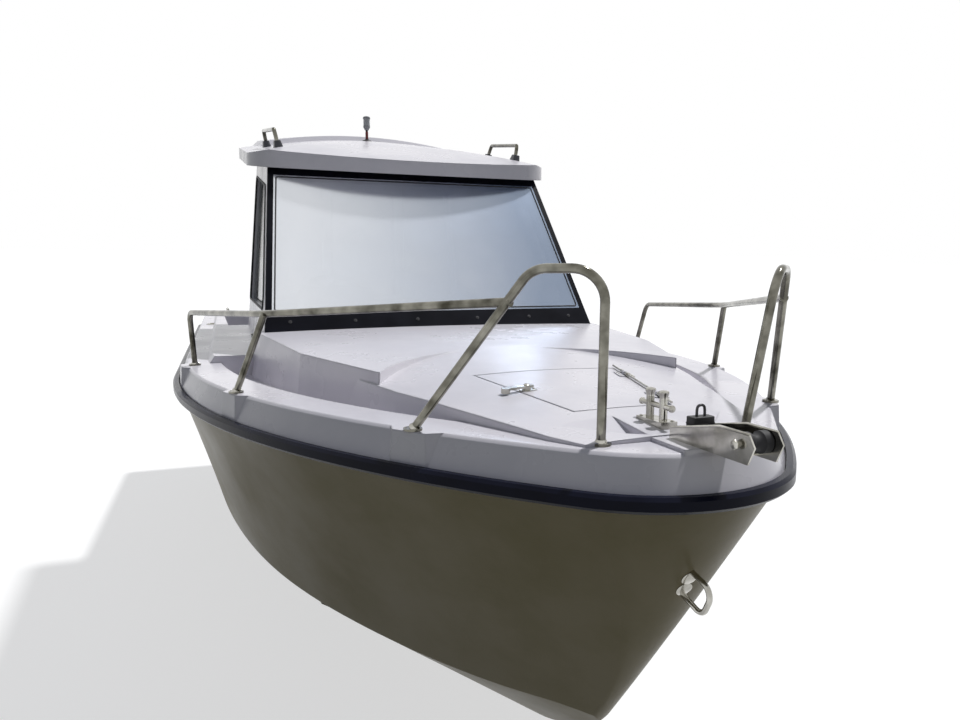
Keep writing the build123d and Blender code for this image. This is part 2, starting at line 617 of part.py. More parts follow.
# Lugs that widen the toe rail outboard of the pulpit's feet
LUG_FEET = [ARCH_ROUTE[0], SIDE_RAIL_ROUTE[0], STANCHION_ROUTE[0]]
LUG_HALF_TOP = 52.0
LUG_HALF_FOOT = 78.0
LUG_REACH = 28.0
LUG_DRAFT = 5.0
LUG_DEPTH = 88.0


def rail_normal(x, y):
    """Distance of a port point inside the rub rail's outline, and the outline's outward direction there."""
    radius, heading = RAIL_ARCS[0]
    centre = Vector(0, RAIL_NOSE_Y + radius)
    for next_radius, next_heading in RAIL_ARCS[1:]:
        toward = Vector(math.sin(math.radians(heading)), -math.cos(math.radians(heading)))
        centre -= toward * (next_radius - radius)
        radius, heading = next_radius, next_heading
        out = Vector(x, y) - centre
        if 90 + math.degrees(math.atan2(out.Y, out.X)) <= heading:
            break
    return radius - out.length, out.normalized()


def pulpit_lugs():
    lugs = []
    for x, y, z in LUG_FEET:
        inset, outward = rail_normal(x, y)
        frame = Plane(origin=(x, y, TOE_RAIL_Z), x_dir=(outward.X, outward.Y, 0), z_dir=(0, 0, 1))
        sections = []
        for draft, low in ((0.0, 0.0), (LUG_DRAFT, -LUG_DEPTH)):
            tip = inset - TOE_RAIL_INSET + LUG_REACH + draft
            root = inset - TOE_RAIL_INSET - 40
            sections.append(flat([(root, -LUG_HALF_FOOT - 40 - draft, low), (tip, -LUG_HALF_TOP - draft, low),
                                  (tip, LUG_HALF_TOP + draft, low), (root, LUG_HALF_FOOT + 40 + draft, low)]))
        lugs.append(frame * loft(sections, ruled=True))
    return lugs


# Fittings on the roof
HANDLE_ROUTE = [(657, 646, 800), (659, 678, 912), (672, 1088, 985), (674, 1120, 880)]
HANDLE_BEND = 28.0
LIGHT_Y = 1576.0
LIGHT_Z = 1060.0
LIGHT_TOP_Z = 1247.0


def make_handle():
    bar = tube(HANDLE_ROUTE, HANDLE_BEND, TUBE_RADIUS)
    for x, y, z in (HANDLE_ROUTE[0], HANDLE_ROUTE[-1]):
        bar += Pos(x, y, z + 30) * Cylinder(22, 100)
    return largest(bar - Pos(0, 0, SEAT_GAP) * pieces["roof"])


def make_light():
    light = Pos(0, LIGHT_Y, LIGHT_Z + 14) * Cylinder(27, 40)
    light += Pos(0, LIGHT_Y, (LIGHT_Z + LIGHT_TOP_Z) / 2) * Cylinder(8, LIGHT_TOP_Z - LIGHT_Z)
    light += Pos(0, LIGHT_Y, LIGHT_TOP_Z - 25) * Cylinder(20, 50)
    return largest(light - pieces["roof"])


# Deck fittings
BOLLARD_Y = -1772.0
BOLLARD_HALF = 28.0
BOLLARD_BAR = 46.0
PAD_HALF = 75.0
PAD_Z = -141.0
PAD_FRONT_Y = -1990.0
ROLLER_AFT_Y = -1881.0
ROLLER_TIP_Y = -2146.0
ROLLER_Y = -2112.0
ROLLER_Z = -104.0
ROLLER_HALF = 34.0
ROLLER_RADIUS = 24.0
SHEET_THICK = 4.0
PIN_RADIUS = 6.0


def make_bollard():
    z = foredeck_z(BOLLARD_Y)
    bollard = Pos(0, BOLLARD_Y, z) * Box(46, 108, 24)
    for y in (-BOLLARD_HALF, BOLLARD_HALF):
        bollard += Pos(0, BOLLARD_Y + y, z + 33) * Cylinder(10, 66)
    bollard += Pos(0, BOLLARD_Y, z + BOLLARD_BAR) * Rot(90, 0, 0) * Cylinder(7, 120)
    return bollard - pieces["deck"] - block(-100, 100, -FAR, FAR, -FAR, z - 12)


def foredeck_z(y):
    """Height of the foredeck plateau on the centreline."""
    return PLATEAU_SILL_Z + (y - PLATEAU_SILL_Y) * radians_tan(PLATEAU_FALL)


def make_roller_bracket():
    """Stainless channel over the bow, its cheeks cut to a rounded nose."""
    cheek_line = Polyline((ROLLER_AFT_Y, PAD_Z), (ROLLER_AFT_Y, PAD_Z + 26), (ROLLER_Y + 60, PAD_Z + 62),
                          (ROLLER_TIP_Y + 4, PAD_Z + 62), (ROLLER_TIP_Y - 12, PAD_Z + 38),
                          (ROLLER_TIP_Y + 6, PAD_Z), (ROLLER_AFT_Y, PAD_Z))
    cheek = extrude(Plane.YZ * make_face(cheek_line), SHEET_THICK)
    bracket = Pos(ROLLER_HALF, 0, 0) * cheek + Pos(-ROLLER_HALF - SHEET_THICK, 0, 0) * cheek
    bracket += block(-ROLLER_HALF - SHEET_THICK, ROLLER_HALF + SHEET_THICK, ROLLER_Y + 30, ROLLER_AFT_Y,
                     PAD_Z, PAD_Z + SHEET_THICK)
    bracket += Pos(0, ROLLER_Y, ROLLER_Z) * Rot(0, 90, 0) * Cylinder(PIN_RADIUS, 2 * ROLLER_HALF + 24)
    return bracket


def make_roller():
    length = 2 * (ROLLER_HALF - 2)
    wheel = Pos(0, ROLLER_Y, ROLLER_Z) * Rot(0, 90, 0) * Cylinder(ROLLER_RADIUS, length)
    groove = Pos(0, ROLLER_Y, ROLLER_Z) * Rot(0, 90, 0) * Torus(ROLLER_RADIUS + 8, 16)
    bore = Pos(0, ROLLER_Y, ROLLER_Z) * Rot(0, 90, 0) * Cylinder(PIN_RADIUS + SEAT_GAP, length + 10)
    return wheel - groove - bore


LOCK_Y = -1942.0
LOCK_HEIGHT = 31.0
SHACKLE_HALF = 10.0
SHACKLE_RISE = 22.0


def make_roller_lock():
    z = PAD_Z + SHEET_THICK
    half = ROLLER_HALF - 1
    lock = block(-half, half, LOCK_Y - 18, LOCK_Y + 18, z, z + LOCK_HEIGHT)
    top = z + LOCK_HEIGHT + SHACKLE_RISE
    loop = tube([(-SHACKLE_HALF, LOCK_Y, z + 20), (-SHACKLE_HALF, LOCK_Y, top),
                 (SHACKLE_HALF, LOCK_Y, top), (SHACKLE_HALF, LOCK_Y, z + 20)], SHACKLE_HALF - 1, 3.5)
    return lock + loop


def make_bow_eye():
    eye = tube([(0, -1880, -440), (0, -2010, -470), (0, -1975, -540), (0, -1860, -510)], 28.0, 7)
    return eye - pieces["hull"] - block(-50, 50, -1900, 0, -FAR, FAR)


def make_nav_light():
    """Port side light, on the side of the cabin."""
    y, z = 150.0, -55.0
    body = Pos(cabin_half(y, z) + 8, y, z) * Box(56, 64, 44)
    return fillet(body.edges().filter_by(Axis.Y), 10) - inboard_of_side()


def inboard_of_side():
    """Everything inboard of the port cabin side's outer face."""
    return side_plane(0) * (Pos(0, 0, -FAR / 2) * Box(2 * FAR, FAR, FAR))


def make_latch():
    """Turning lever on a plate on the lid, its toe over the foredeck."""
    frame = foredeck_plane() * Pos(-HATCH[0][1] + 52, -235, -foredeck_dip(200)) * Rot(0, 0, 14)
    plate = Pos(33, 0, -3) * extrude(RectangleRounded(54, 34, 12), 7)
    boss = Pos(26, 0, 8) * Cylinder(12, 16)
    lever = Pos(-6, 0, 10) * extrude(RectangleRounded(112, 16, 7), 7)
    toe = Pos(-50, 0, 9.5) * Cylinder(13, 15)
    latch = frame * (plate + boss + lever + toe)
    return latch - pieces["deck"] - pieces["foredeck_hatch"]


CLEAT_X = 860.0
CLEAT_Y = 3640.0


def make_cleats():
    cleat = Box(24, 34, 28) + Pos(0, 0, 20) * Rot(90, 0, 0) * Cylinder(9, 200)
    z = COAMING_Z + 14
    return Pos(-CLEAT_X, CLEAT_Y, z) * cleat + Pos(CLEAT_X, CLEAT_Y, z) * cleat


# Helm and seats
HELM_X = -434.0
WHEEL_Y = 505.0
WHEEL_Z = 70.0
WHEEL_TILT = 25.0
WHEEL_RADIUS = 170.0
CONSOLE_AFT_Y = 420.0
CONSOLE_HALF = 690.0


def sole_z(y):
    """Height of the sole in the deck frame."""
    return (SOLE_HEIGHT - DECK_ORIGIN_Z + y * math.sin(math.radians(TRIM_ANGLE))) / math.cos(math.radians(TRIM_ANGLE))


def make_console():
    front = CABIN_FRONT_Y + 20 + SEAT_GAP
    floor = hull_cavity(SEAT_GAP)
    half = CONSOLE_HALF
    pedestal = (floor & block(-half - 10, -180, front + 40, CONSOLE_AFT_Y, FOOT_Z, JOINT_Z - 1))
    pedestal += block(-half, -180, front, CONSOLE_AFT_Y, JOINT_Z - 2, -60)
    dash = block(-half, half, front, CONSOLE_AFT_Y - 40, -60, -30)
    hump = extrude(Plane.YZ * flat_yz([(180, -31), (250, 130), (330, 172), (CONSOLE_AFT_Y - 20, 120),
                                       (CONSOLE_AFT_Y, -31)]), 340)
    hump = Pos(HELM_X - 170, 0, 0) * hump
    column = Plane(origin=(HELM_X, WHEEL_Y, WHEEL_Z), z_dir=wheel_axis()) * Pos(0, 0, -82) * Cylinder(26, 120)
    return pedestal + dash + hump + column


def flat_yz(points):
    return make_face(Polyline(*points, points[0]))


def wheel_axis():
    return Vector(0, math.cos(math.radians(WHEEL_TILT)), math.sin(math.radians(WHEEL_TILT)))


def make_wheel():
    wheel = Torus(WHEEL_RADIUS, 13) + Pos(0, 0, -4) * Cylinder(34, 34)
    for angle in (0, 120, 240):
        wheel += Rot(0, 0, angle + 90) * Pos(WHEEL_RADIUS / 2, 0, 0) * Box(WHEEL_RADIUS, 26, 8)
    return Plane(origin=(HELM_X, WHEEL_Y, WHEEL_Z), z_dir=wheel_axis()) * wheel


SEAT_Y = 1010.0
SEAT_Z = -330.0


def make_seat(x):
    foot = sole_z(SEAT_Y)
    post = Pos(x, SEAT_Y, (foot - 40 + SEAT_Z) / 2) * Cylinder(45, SEAT_Z - foot + 40)
    base = Pos(x, SEAT_Y, foot) * Cylinder(150, 50)
    shell = Pos(x, SEAT_Y, SEAT_Z) * Box(440, 430, 30)
    back = Pos(x, SEAT_Y + 205, SEAT_Z + 225) * Box(420, 30, 450)
    frame = (post + base) & (LEVEL * block(-FAR, FAR, -FAR, FAR, SOLE_HEIGHT, FAR))
    cushion = Pos(x, SEAT_Y - 15, SEAT_Z + 15 + SEAT_GAP + 45) * Box(430, 390, 90)
    rest = Pos(x, SEAT_Y + 190 - SEAT_GAP - 32, SEAT_Z + 300) * Box(400, 64, 300)
    return frame + shell + back, fillet(cushion.edges(), 25) + fillet(rest.edges(), 22)


BENCH_FRONT_Y = 2800.0
BENCH_HINGE_Y = 3120.0
BENCH_Z = -345.0
BENCH_HALF = 800.0
LID_THICK = 22.0


def make_bench():
    room = hull_cavity(SEAT_GAP)
    body = room & block(-BENCH_HALF, BENCH_HALF, BENCH_FRONT_Y, CAVITY_STERN_Y, FOOT_Z, BENCH_Z)
    hollow = block(-BENCH_HALF + 30, BENCH_HALF - 30, BENCH_FRONT_Y + 30, BENCH_HINGE_Y - 30,
                   sole_z(BENCH_HINGE_Y) + 40, 0)
    half = BENCH_HALF - 5
    low = BENCH_Z + SEAT_GAP
    lid = block(-half, half, BENCH_FRONT_Y - 10, BENCH_HINGE_Y, low, low + LID_THICK)
    lid += Pos(0, BENCH_HINGE_Y, low + LID_THICK / 2) * (Rot(0, 90, 0) * Cylinder(LID_THICK / 2, 2 * half))
    pad = block(-BENCH_HALF + 20, BENCH_HALF - 20, BENCH_FRONT_Y, BENCH_HINGE_Y - 60,
                low + LID_THICK + SEAT_GAP, BENCH_Z + 90)
    return body - hollow, lid, fillet(pad.edges(), 24)


# Outboard engine, drawn level about the top edge of the transom's cut-out
TILT_Y = 70.0
TILT_Z = 60.0
STEER_Y = 140.0
COWL_Z = 210.0
PLATE_Z = -640.0
SHAFT_Z = -805.0
PROP_Y = 575.0
engine_point = (TRIM * Pos(0, transom_y(TRANSOM_TOP_Z), TRANSOM_TOP_Z)).position
ENGINE = LEVEL * Location(engine_point)


def make_engine_bracket():
    outline = flat_yz([(-10, -6), (-75, -260), (0, -275), (70, -150), (118, 20), (110, 80), (70, 102), (20, 90),
                       (-62, 45), (-62, -6)])
    cheek = extrude(Plane.YZ * outline, 20)
    bracket = Pos(105, 0, 0) * cheek + Pos(-125, 0, 0) * cheek
    bracket += Pos(0, TILT_Y, TILT_Z) * Rot(0, 90, 0) * Cylinder(15, 270)
    bracket += Pos(0, -38, 22) * Box(230, 40, 34)
    return (ENGINE * bracket) - pieces["hull"]


def make_engine_swivel():
    outline = flat_yz([(40, 80), (60, 90), (105, 86), (STEER_Y + 20, 40), (STEER_Y + 20, -240), (STEER_Y - 40, -250),
                       (30, -120), (28, 30)])
    body = Pos(-55, 0, 0) * extrude(Plane.YZ * outline, 110)
    body += Pos(0, TILT_Y, TILT_Z) * Rot(0, 90, 0) * Cylinder(30, 196)
    body += Pos(0, STEER_Y, -105) * Cylinder(40, 310)
    body -= Pos(0, TILT_Y, TILT_Z) * Rot(0, 90, 0) * Cylinder(15 + SEAT_GAP, 300)
    body -= Pos(0, STEER_Y, 0) * Cylinder(16 + SEAT_GAP, 800)
    return ENGINE * body


def make_engine_leg():
    pin = Pos(0, STEER_Y, -92) * Cylinder(16, 410)
    leg = loft([Pos(0, 345, COWL_Z) * Ellipse(105, 160).face(), Pos(0, 320, -200) * Ellipse(58, 105).face(),
                Pos(0, 322, PLATE_Z) * Ellipse(42, 118).face()], ruled=True)
    upper = Pos(0, STEER_Y + 65, 109) * Box(90, 200, 24)
    lower = Pos(0, STEER_Y + 60, -290) * Box(80, 190, 36)
    plate = extrude(Pos(0, 350, PLATE_Z) * Ellipse(110, 230).face(), 12)
    return ENGINE * (pin + leg + upper + lower + plate)


def make_engine_cowl():
    def section(z, y, width, length, corner):
        return Pos(0, y, z) * RectangleRounded(width, length, corner).face()
    cowl = loft([section(COWL_Z + SEAT_GAP, 300, 330, 540, 120), section(COWL_Z + 120, 305, 400, 620, 150),
                 section(COWL_Z + 310, 305, 390, 600, 150), section(COWL_Z + 430, 310, 290, 440, 120)])
    return ENGINE * cowl


def make_gearcase():
    line = Polyline((0, 120), (30, 135), (50, 190), (56, 300), (54, 480), (46, PROP_Y - 10), (0, PROP_Y - 10), (0, 120))
    torpedo = Pos(0, 0, SHAFT_Z) * revolve(make_face(line), Axis.Y)
    blade = loft([Pos(0, 322, PLATE_Z - SEAT_GAP) * Ellipse(40, 116).face(),
                  Pos(0, 322, SHAFT_Z) * Ellipse(30, 105).face()], ruled=True)
    skeg = Pos(-5, 0, 0) * extrude(Plane.YZ * flat_yz([(230, SHAFT_Z - 30), (430, SHAFT_Z - 30), (440, SHAFT_Z - 190),
                                                      (330, SHAFT_Z - 200)]), 10)
    shaft = Pos(0, PROP_Y + 40, SHAFT_Z) * Rot(90, 0, 0) * Cylinder(12, 120)
    return ENGINE * (torpedo + blade + skeg + shaft)


def make_propeller():
    hub = Rot(90, 0, 0) * Cylinder(40, 92)
    blade = extrude(Ellipse(72, 52).face(), 3, both=True)
    for angle in (0, 120, 240):
        hub += Rot(0, angle, 0) * Pos(100, 0, 0) * Rot(40, 0, 0) * blade
    hub -= Rot(90, 0, 0) * Cylinder(12 + SEAT_GAP, 200)
    return ENGINE * Pos(0, PROP_Y + 50, SHAFT_Z) * hub


pieces["hull"] = make_hull()
deck = make_deck() + block(-PAD_HALF, PAD_HALF, PAD_FRONT_Y, -1800, JOINT_Z + 20, PAD_Z)
for port_lug in pulpit_lugs():
    for lug in both(port_lug):
        deck += lug
pieces["deck"] = deck
pieces["rub_rail"] = make_rub_rail()
pieces["foredeck_hatch"] = make_hatch()
pieces["hatch_hinges"] = hatch_hinges(moving=False) - pieces["deck"]
pieces["hatch_latch"] = make_latch()
pieces["windscreen_frame"], pieces["windscreen_glass"] = make_screen()
side, glass = make_side()
pieces["cabin_side_port"], pieces["cabin_side_starboard"] = both(side)
pieces["side_glass_port"], pieces["side_glass_starboard"] = both(glass)
pieces["roof"] = make_roof()
pieces["aft_bulkhead"] = make_bulkhead()
pieces["cabin_door"], pieces["door_glass"] = make_door()
pieces["door_hinges"] = door_hinges(moving=False)
pieces["pulpit_port"], pieces["pulpit_starboard"] = both(make_pulpit())
pieces["roof_handle_port"], pieces["roof_handle_starboard"] = both(make_handle())
pieces["masthead_light"] = make_light()
pieces["side_light_port"], pieces["side_light_starboard"] = both(make_nav_light())
pieces["bollard"] = make_bollard()
pieces["roller_bracket"] = make_roller_bracket()
pieces["bow_roller"] = make_roller()
pieces["roller_lock"] = make_roller_lock()
pieces["bow_eye"] = make_bow_eye()
pieces["stern_cleats"] = make_cleats()
pieces["helm_console"] = make_console()
pieces["steering_wheel"] = make_wheel()
for name, x in (("helm", HELM_X), ("passenger", -HELM_X)):
    pieces[f"{name}_seat"], pieces[f"{name}_cushions"] = make_seat(x)
pieces["stern_bench"], pieces["bench_lid"], pieces["bench_cushion"] = make_bench()
pieces["engine_bracket"] = make_engine_bracket()
pieces["engine_swivel"] = make_engine_swivel()
pieces["engine_leg"] = make_engine_leg()
pieces["engine_cowl"] = make_engine_cowl()
pieces["gearcase"] = make_gearcase()
pieces["propeller"] = make_propeller()

os.makedirs("parts", exist_ok=True)
for name, shape in pieces.items():
    export_step(TRIM * shape, f"parts/{name}.step")
    print(name, round(shape.volume / 1e6, 2), len(shape.solids()))
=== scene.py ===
import json
import math

import bmesh
import bpy
from mathutils import Matrix, Vector

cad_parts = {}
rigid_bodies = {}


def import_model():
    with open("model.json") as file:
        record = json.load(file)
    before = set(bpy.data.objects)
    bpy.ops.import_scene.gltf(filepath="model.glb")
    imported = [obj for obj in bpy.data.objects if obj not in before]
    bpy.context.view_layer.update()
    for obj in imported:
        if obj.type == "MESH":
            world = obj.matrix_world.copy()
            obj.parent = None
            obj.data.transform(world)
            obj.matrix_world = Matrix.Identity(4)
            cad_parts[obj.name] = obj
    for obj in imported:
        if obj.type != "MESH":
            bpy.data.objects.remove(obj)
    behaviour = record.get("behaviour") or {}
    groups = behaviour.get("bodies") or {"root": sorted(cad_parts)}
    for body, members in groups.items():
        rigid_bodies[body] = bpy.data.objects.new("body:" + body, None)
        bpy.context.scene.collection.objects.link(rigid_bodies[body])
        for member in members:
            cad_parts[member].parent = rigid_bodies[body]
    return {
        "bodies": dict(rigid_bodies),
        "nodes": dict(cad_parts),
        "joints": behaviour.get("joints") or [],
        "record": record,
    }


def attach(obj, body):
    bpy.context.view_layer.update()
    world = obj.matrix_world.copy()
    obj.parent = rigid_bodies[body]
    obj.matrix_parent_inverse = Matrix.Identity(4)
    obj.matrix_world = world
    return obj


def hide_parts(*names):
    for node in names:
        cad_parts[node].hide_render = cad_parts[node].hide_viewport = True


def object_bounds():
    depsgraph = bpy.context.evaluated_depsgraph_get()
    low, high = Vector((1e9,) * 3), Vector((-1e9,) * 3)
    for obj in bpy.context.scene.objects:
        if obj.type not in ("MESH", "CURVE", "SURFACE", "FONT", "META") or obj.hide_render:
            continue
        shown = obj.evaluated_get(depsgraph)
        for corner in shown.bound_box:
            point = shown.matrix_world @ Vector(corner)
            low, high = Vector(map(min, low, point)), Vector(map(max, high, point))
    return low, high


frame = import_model()
cad_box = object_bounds()
nodes = frame["nodes"]

# The deck frame is level with the deck edge, with its origin at the middle of the windscreen's foot.
# Fittings are placed in it, in metres, and DECK sets them on the water-level frame of the model.
TRIM = 3.5


def shift(x, y, z):
    """A move."""
    return Matrix.Translation((x, y, z))


def spin(degrees, axis):
    """A turn about one axis."""
    return Matrix.Rotation(math.radians(degrees), 4, axis)


DECK = shift(0, -0.88, 0.98) @ spin(-TRIM, "X")

# Slopes of the panels that carry fittings, in the deck frame
SCREEN_RUN = 0.493
SCREEN_RISE = 0.718
SCREEN_SLOPE = math.atan2(SCREEN_RISE, SCREEN_RUN)
FOREDECK_FALL = 5.0


# Materials
def linear(hex_colour):
    """Linear colour of an sRGB hex value."""
    channels = [int(hex_colour[i:i + 2], 16) / 255 for i in (1, 3, 5)]
    return tuple(c / 12.92 if c <= 0.04045 else ((c + 0.055) / 1.055) ** 2.4 for c in channels) + (1.0,)


def add(tree, kind, sockets=None, **settings):
    """A node with its settings, its socket values and its links."""
    node = tree.nodes.new(kind)
    for name, value in settings.items():
        setattr(node, name, value)
    for name, value in (sockets or {}).items():
        if isinstance(value, bpy.types.NodeSocket):
            tree.links.new(value, node.inputs[name])
        else:
            node.inputs[name].default_value = value
    return node


def new_material(name, **sockets):
    """A material, its node tree and its shader with these socket values."""
    material = bpy.data.materials.new(name)
    material.use_nodes = True
    tree = material.node_tree
    shader = tree.nodes["Principled BSDF"]
    for socket, value in sockets.items():
        shader.inputs[socket.replace("_", " ")].default_value = value
    return material, tree, shader


def ramp_stops(ramp, stops):
    """Fills a colour ramp from (place, hex colour) pairs."""
    elements = ramp.color_ramp.elements
    while len(elements) < len(stops):
        elements.new(0.5)
    for element, (place, colour) in zip(elements, stops):
        element.position = place
        element.color = linear(colour)
    return ramp.outputs["Color"]


def moulded_gelcoat(name, clean, worn, ripple_mm, gloss=0.22, specular=0.4, coat=0.12):
    """Gelcoat from a polished mould: deep gloss, rounded corners, faint ripple, a little dull dirt."""
    material, tree, shader = new_material(name, Coat_Weight=coat, Coat_Roughness=0.1, IOR=1.5,
                                          Specular_IOR_Level=specular)
    place = add(tree, "ShaderNodeTexCoord").outputs["Object"]
    patch = add(tree, "ShaderNodeTexNoise", {"Vector": place, "Scale": 2.6, "Detail": 5.0, "Roughness": 0.6})
    colour = ramp_stops(add(tree, "ShaderNodeValToRGB", {"Fac": patch.outputs["Fac"]}),
                        [(0.34, worn), (0.6, clean)])
    dull = add(tree, "ShaderNodeMapRange", {"Value": patch.outputs["Fac"], "From Min": 0.3, "From Max": 0.7,
                                            "To Min": gloss + 0.14, "To Max": gloss})
    ripple = add(tree, "ShaderNodeTexNoise", {"Vector": place, "Scale": 1000 / ripple_mm, "Detail": 2.0})
    # Corners of the mould are rounded to 9 mm
    corner = add(tree, "ShaderNodeBevel", {"Radius": 0.009}, samples=4)
    bump = add(tree, "ShaderNodeBump", {"Height": ripple.outputs["Fac"], "Normal": corner.outputs["Normal"],
                                        "Strength": 0.02, "Distance": 0.002})
    tree.links.new(colour, shader.inputs["Base Color"])
    tree.links.new(dull.outputs["Result"], shader.inputs["Roughness"])
    tree.links.new(bump.outputs["Normal"], shader.inputs["Normal"])
    return material


def metal(name, dull, bright, rough_low, rough_high):
    """Polished metal: bright, with faint cloudy handling marks."""
    material, tree, shader = new_material(name, Metallic=1.0)
    place = add(tree, "ShaderNodeTexCoord").outputs["Object"]
    cloud = add(tree, "ShaderNodeTexNoise", {"Vector": place, "Scale": 18.0, "Detail": 4.0})
    colour = ramp_stops(add(tree, "ShaderNodeValToRGB", {"Fac": cloud.outputs["Fac"]}),
                        [(0.3, dull), (0.7, bright)])
    rough = add(tree, "ShaderNodeMapRange", {"Value": cloud.outputs["Fac"], "From Min": 0.3, "From Max": 0.7,
                                             "To Min": rough_high, "To Max": rough_low})
    tree.links.new(colour, shader.inputs["Base Color"])
    tree.links.new(rough.outputs["Result"], shader.inputs["Roughness"])
    return material


def lens_plastic(name, tint):
    """Acrylic lens with fine moulded ribs."""
    material, tree, shader = new_material(name, IOR=1.49, Transmission_Weight=0.55, Base_Color=linear(tint))
    place = add(tree, "ShaderNodeTexCoord").outputs["Object"]
    # Ribs of 3 mm
    ribs = add(tree, "ShaderNodeTexWave", {"Vector": place, "Scale": 105.0}, bands_direction="Z")
    bump = add(tree, "ShaderNodeBump", {"Height": ribs.outputs["Fac"], "Strength": 0.4, "Distance": 0.0006})
    haze = add(tree, "ShaderNodeMapRange", {"Value": ribs.outputs["Fac"], "To Min": 0.12, "To Max": 0.24})
    tree.links.new(bump.outputs["Normal"], shader.inputs["Normal"])
    tree.links.new(haze.outputs["Result"], shader.inputs["Roughness"])
    return material


def moulded_plastic(name, clean, worn, grain_mm, roughness, strength=0.25, specular=0.4):
    """Injection-moulded plastic with a spark-eroded grain, greyer where it has weathered."""
    material, tree, shader = new_material(name, IOR=1.46, Specular_IOR_Level=specular)
    place = add(tree, "ShaderNodeTexCoord").outputs["Object"]
    grain = add(tree, "ShaderNodeTexVoronoi", {"Vector": place, "Scale": 1000 / grain_mm})
    weather = add(tree, "ShaderNodeTexNoise", {"Vector": place, "Scale": 9.0, "Detail": 4.0})
    colour = ramp_stops(add(tree, "ShaderNodeValToRGB", {"Fac": weather.outputs["Fac"]}),
                        [(0.35, clean), (0.72, worn)])
    rough = add(tree, "ShaderNodeMapRange", {"Value": weather.outputs["Fac"], "To Min": roughness - 0.06,
                                             "To Max": roughness + 0.12})
    bump = add(tree, "ShaderNodeBump", {"Height": grain.outputs["Distance"], "Strength": strength,
                                        "Distance": 0.0006})
    tree.links.new(colour, shader.inputs["Base Color"])
    tree.links.new(rough.outputs["Result"], shader.inputs["Roughness"])
    tree.links.new(bump.outputs["Normal"], shader.inputs["Normal"])
    return material


def window_glass(name, shaded, bright, span, cover, mirror, roughness=0.03):
    """Toughened glass with a reflecting film; its colour is a painted reflection, paler toward starboard and
    darker toward port, smeared where it was wiped.
    """
    material, tree, shader = new_material(name, IOR=1.5, Metallic=mirror, Alpha=cover)
    place = add(tree, "ShaderNodeTexCoord").outputs["Object"]
    across = add(tree, "ShaderNodeSeparateXYZ", {"Vector": place})
    smear = add(tree, "ShaderNodeTexNoise", {"Vector": place, "Scale": 3.0, "Detail": 6.0})
    wander = add(tree, "ShaderNodeMath", {0: smear.outputs["Fac"], 1: 0.35, 2: across.outputs["X"]},
                 operation="MULTIPLY_ADD")
    share = add(tree, "ShaderNodeMapRange", {"Value": wander.outputs["Value"], "From Min": span[0],
                                             "From Max": span[1]})
    # The ramp across X, from bright to shaded, is a painted reflection
    colour = ramp_stops(add(tree, "ShaderNodeValToRGB", {"Fac": share.outputs["Result"]}),
                        [(0.0, bright), (1.0, shaded)])
    rough = add(tree, "ShaderNodeMapRange", {"Value": smear.outputs["Fac"], "From Min": 0.45, "From Max": 0.8,
                                             "To Min": roughness, "To Max": roughness + 0.07})
    tree.links.new(colour, shader.inputs["Base Color"])
    tree.links.new(rough.outputs["Result"], shader.inputs["Roughness"])
    return material


def coated_fabric():
    """Vinyl-coated marine fabric: fine pebble, soft sheen, and painted shade in the creases."""
    material, tree, shader = new_material("vinyl_coated_fabric", Sheen_Weight=0.15, Sheen_Roughness=0.4)
    place = add(tree, "ShaderNodeTexCoord").outputs["Object"]
    # Pebbles of the coating are 0.8 mm; drawn at 2 mm to show
    pebble = add(tree, "ShaderNodeTexVoronoi", {"Vector": place, "Scale": 500.0}, feature="SMOOTH_F1")
    crease = add(tree, "ShaderNodeTexNoise", {"Vector": place, "Scale": 14.0, "Detail": 5.0,
                                              "Distortion": 0.6})
    # The colour darkens where the bump is low: painted shade in the creases
    colour = ramp_stops(add(tree, "ShaderNodeValToRGB", {"Fac": crease.outputs["Fac"]}),
                        [(0.3, "#3b404a"), (0.6, "#545a66")])
    height = add(tree, "ShaderNodeMath", {0: pebble.outputs["Distance"], 1: crease.outputs["Fac"]},
                 operation="ADD")
    bump = add(tree, "ShaderNodeBump", {"Height": height.outputs["Value"], "Strength": 0.3,
                                        "Distance": 0.0008})
    shader.inputs["Roughness"].default_value = 0.5
    tree.links.new(colour, shader.inputs["Base Color"])
    tree.links.new(bump.outputs["Normal"], shader.inputs["Normal"])
    return material


def anti_slip_gelcoat():
    """Gelcoat with a raised diamond tread moulded in, for the sole."""
    material, tree, shader = new_material("anti_slip_gelcoat", Coat_Weight=0.1, IOR=1.5)
    place = add(tree, "ShaderNodeTexCoord").outputs["Object"]
    diagonal = add(tree, "ShaderNodeMapping", {"Vector": place, "Rotation": (0, 0, math.radians(45))})
    # Diamonds of 14 mm
    diamond = add(tree, "ShaderNodeTexVoronoi", {"Vector": diagonal.outputs["Vector"], "Scale": 70.0,
                                                 "Randomness": 0.0}, distance="CHEBYCHEV")
    bump = add(tree, "ShaderNodeBump", {"Height": diamond.outputs["Distance"], "Strength": 0.5,
                                        "Distance": 0.001})
    dirt = add(tree, "ShaderNodeTexNoise", {"Vector": place, "Scale": 4.0, "Detail": 6.0})
    colour = ramp_stops(add(tree, "ShaderNodeValToRGB", {"Fac": dirt.outputs["Fac"]}),
                        [(0.35, "#a8a6a4"), (0.65, "#c4c2c3")])
    shader.inputs["Roughness"].default_value = 0.5
    tree.links.new(colour, shader.inputs["Base Color"])
    tree.links.new(bump.outputs["Normal"], shader.inputs["Normal"])
    return material


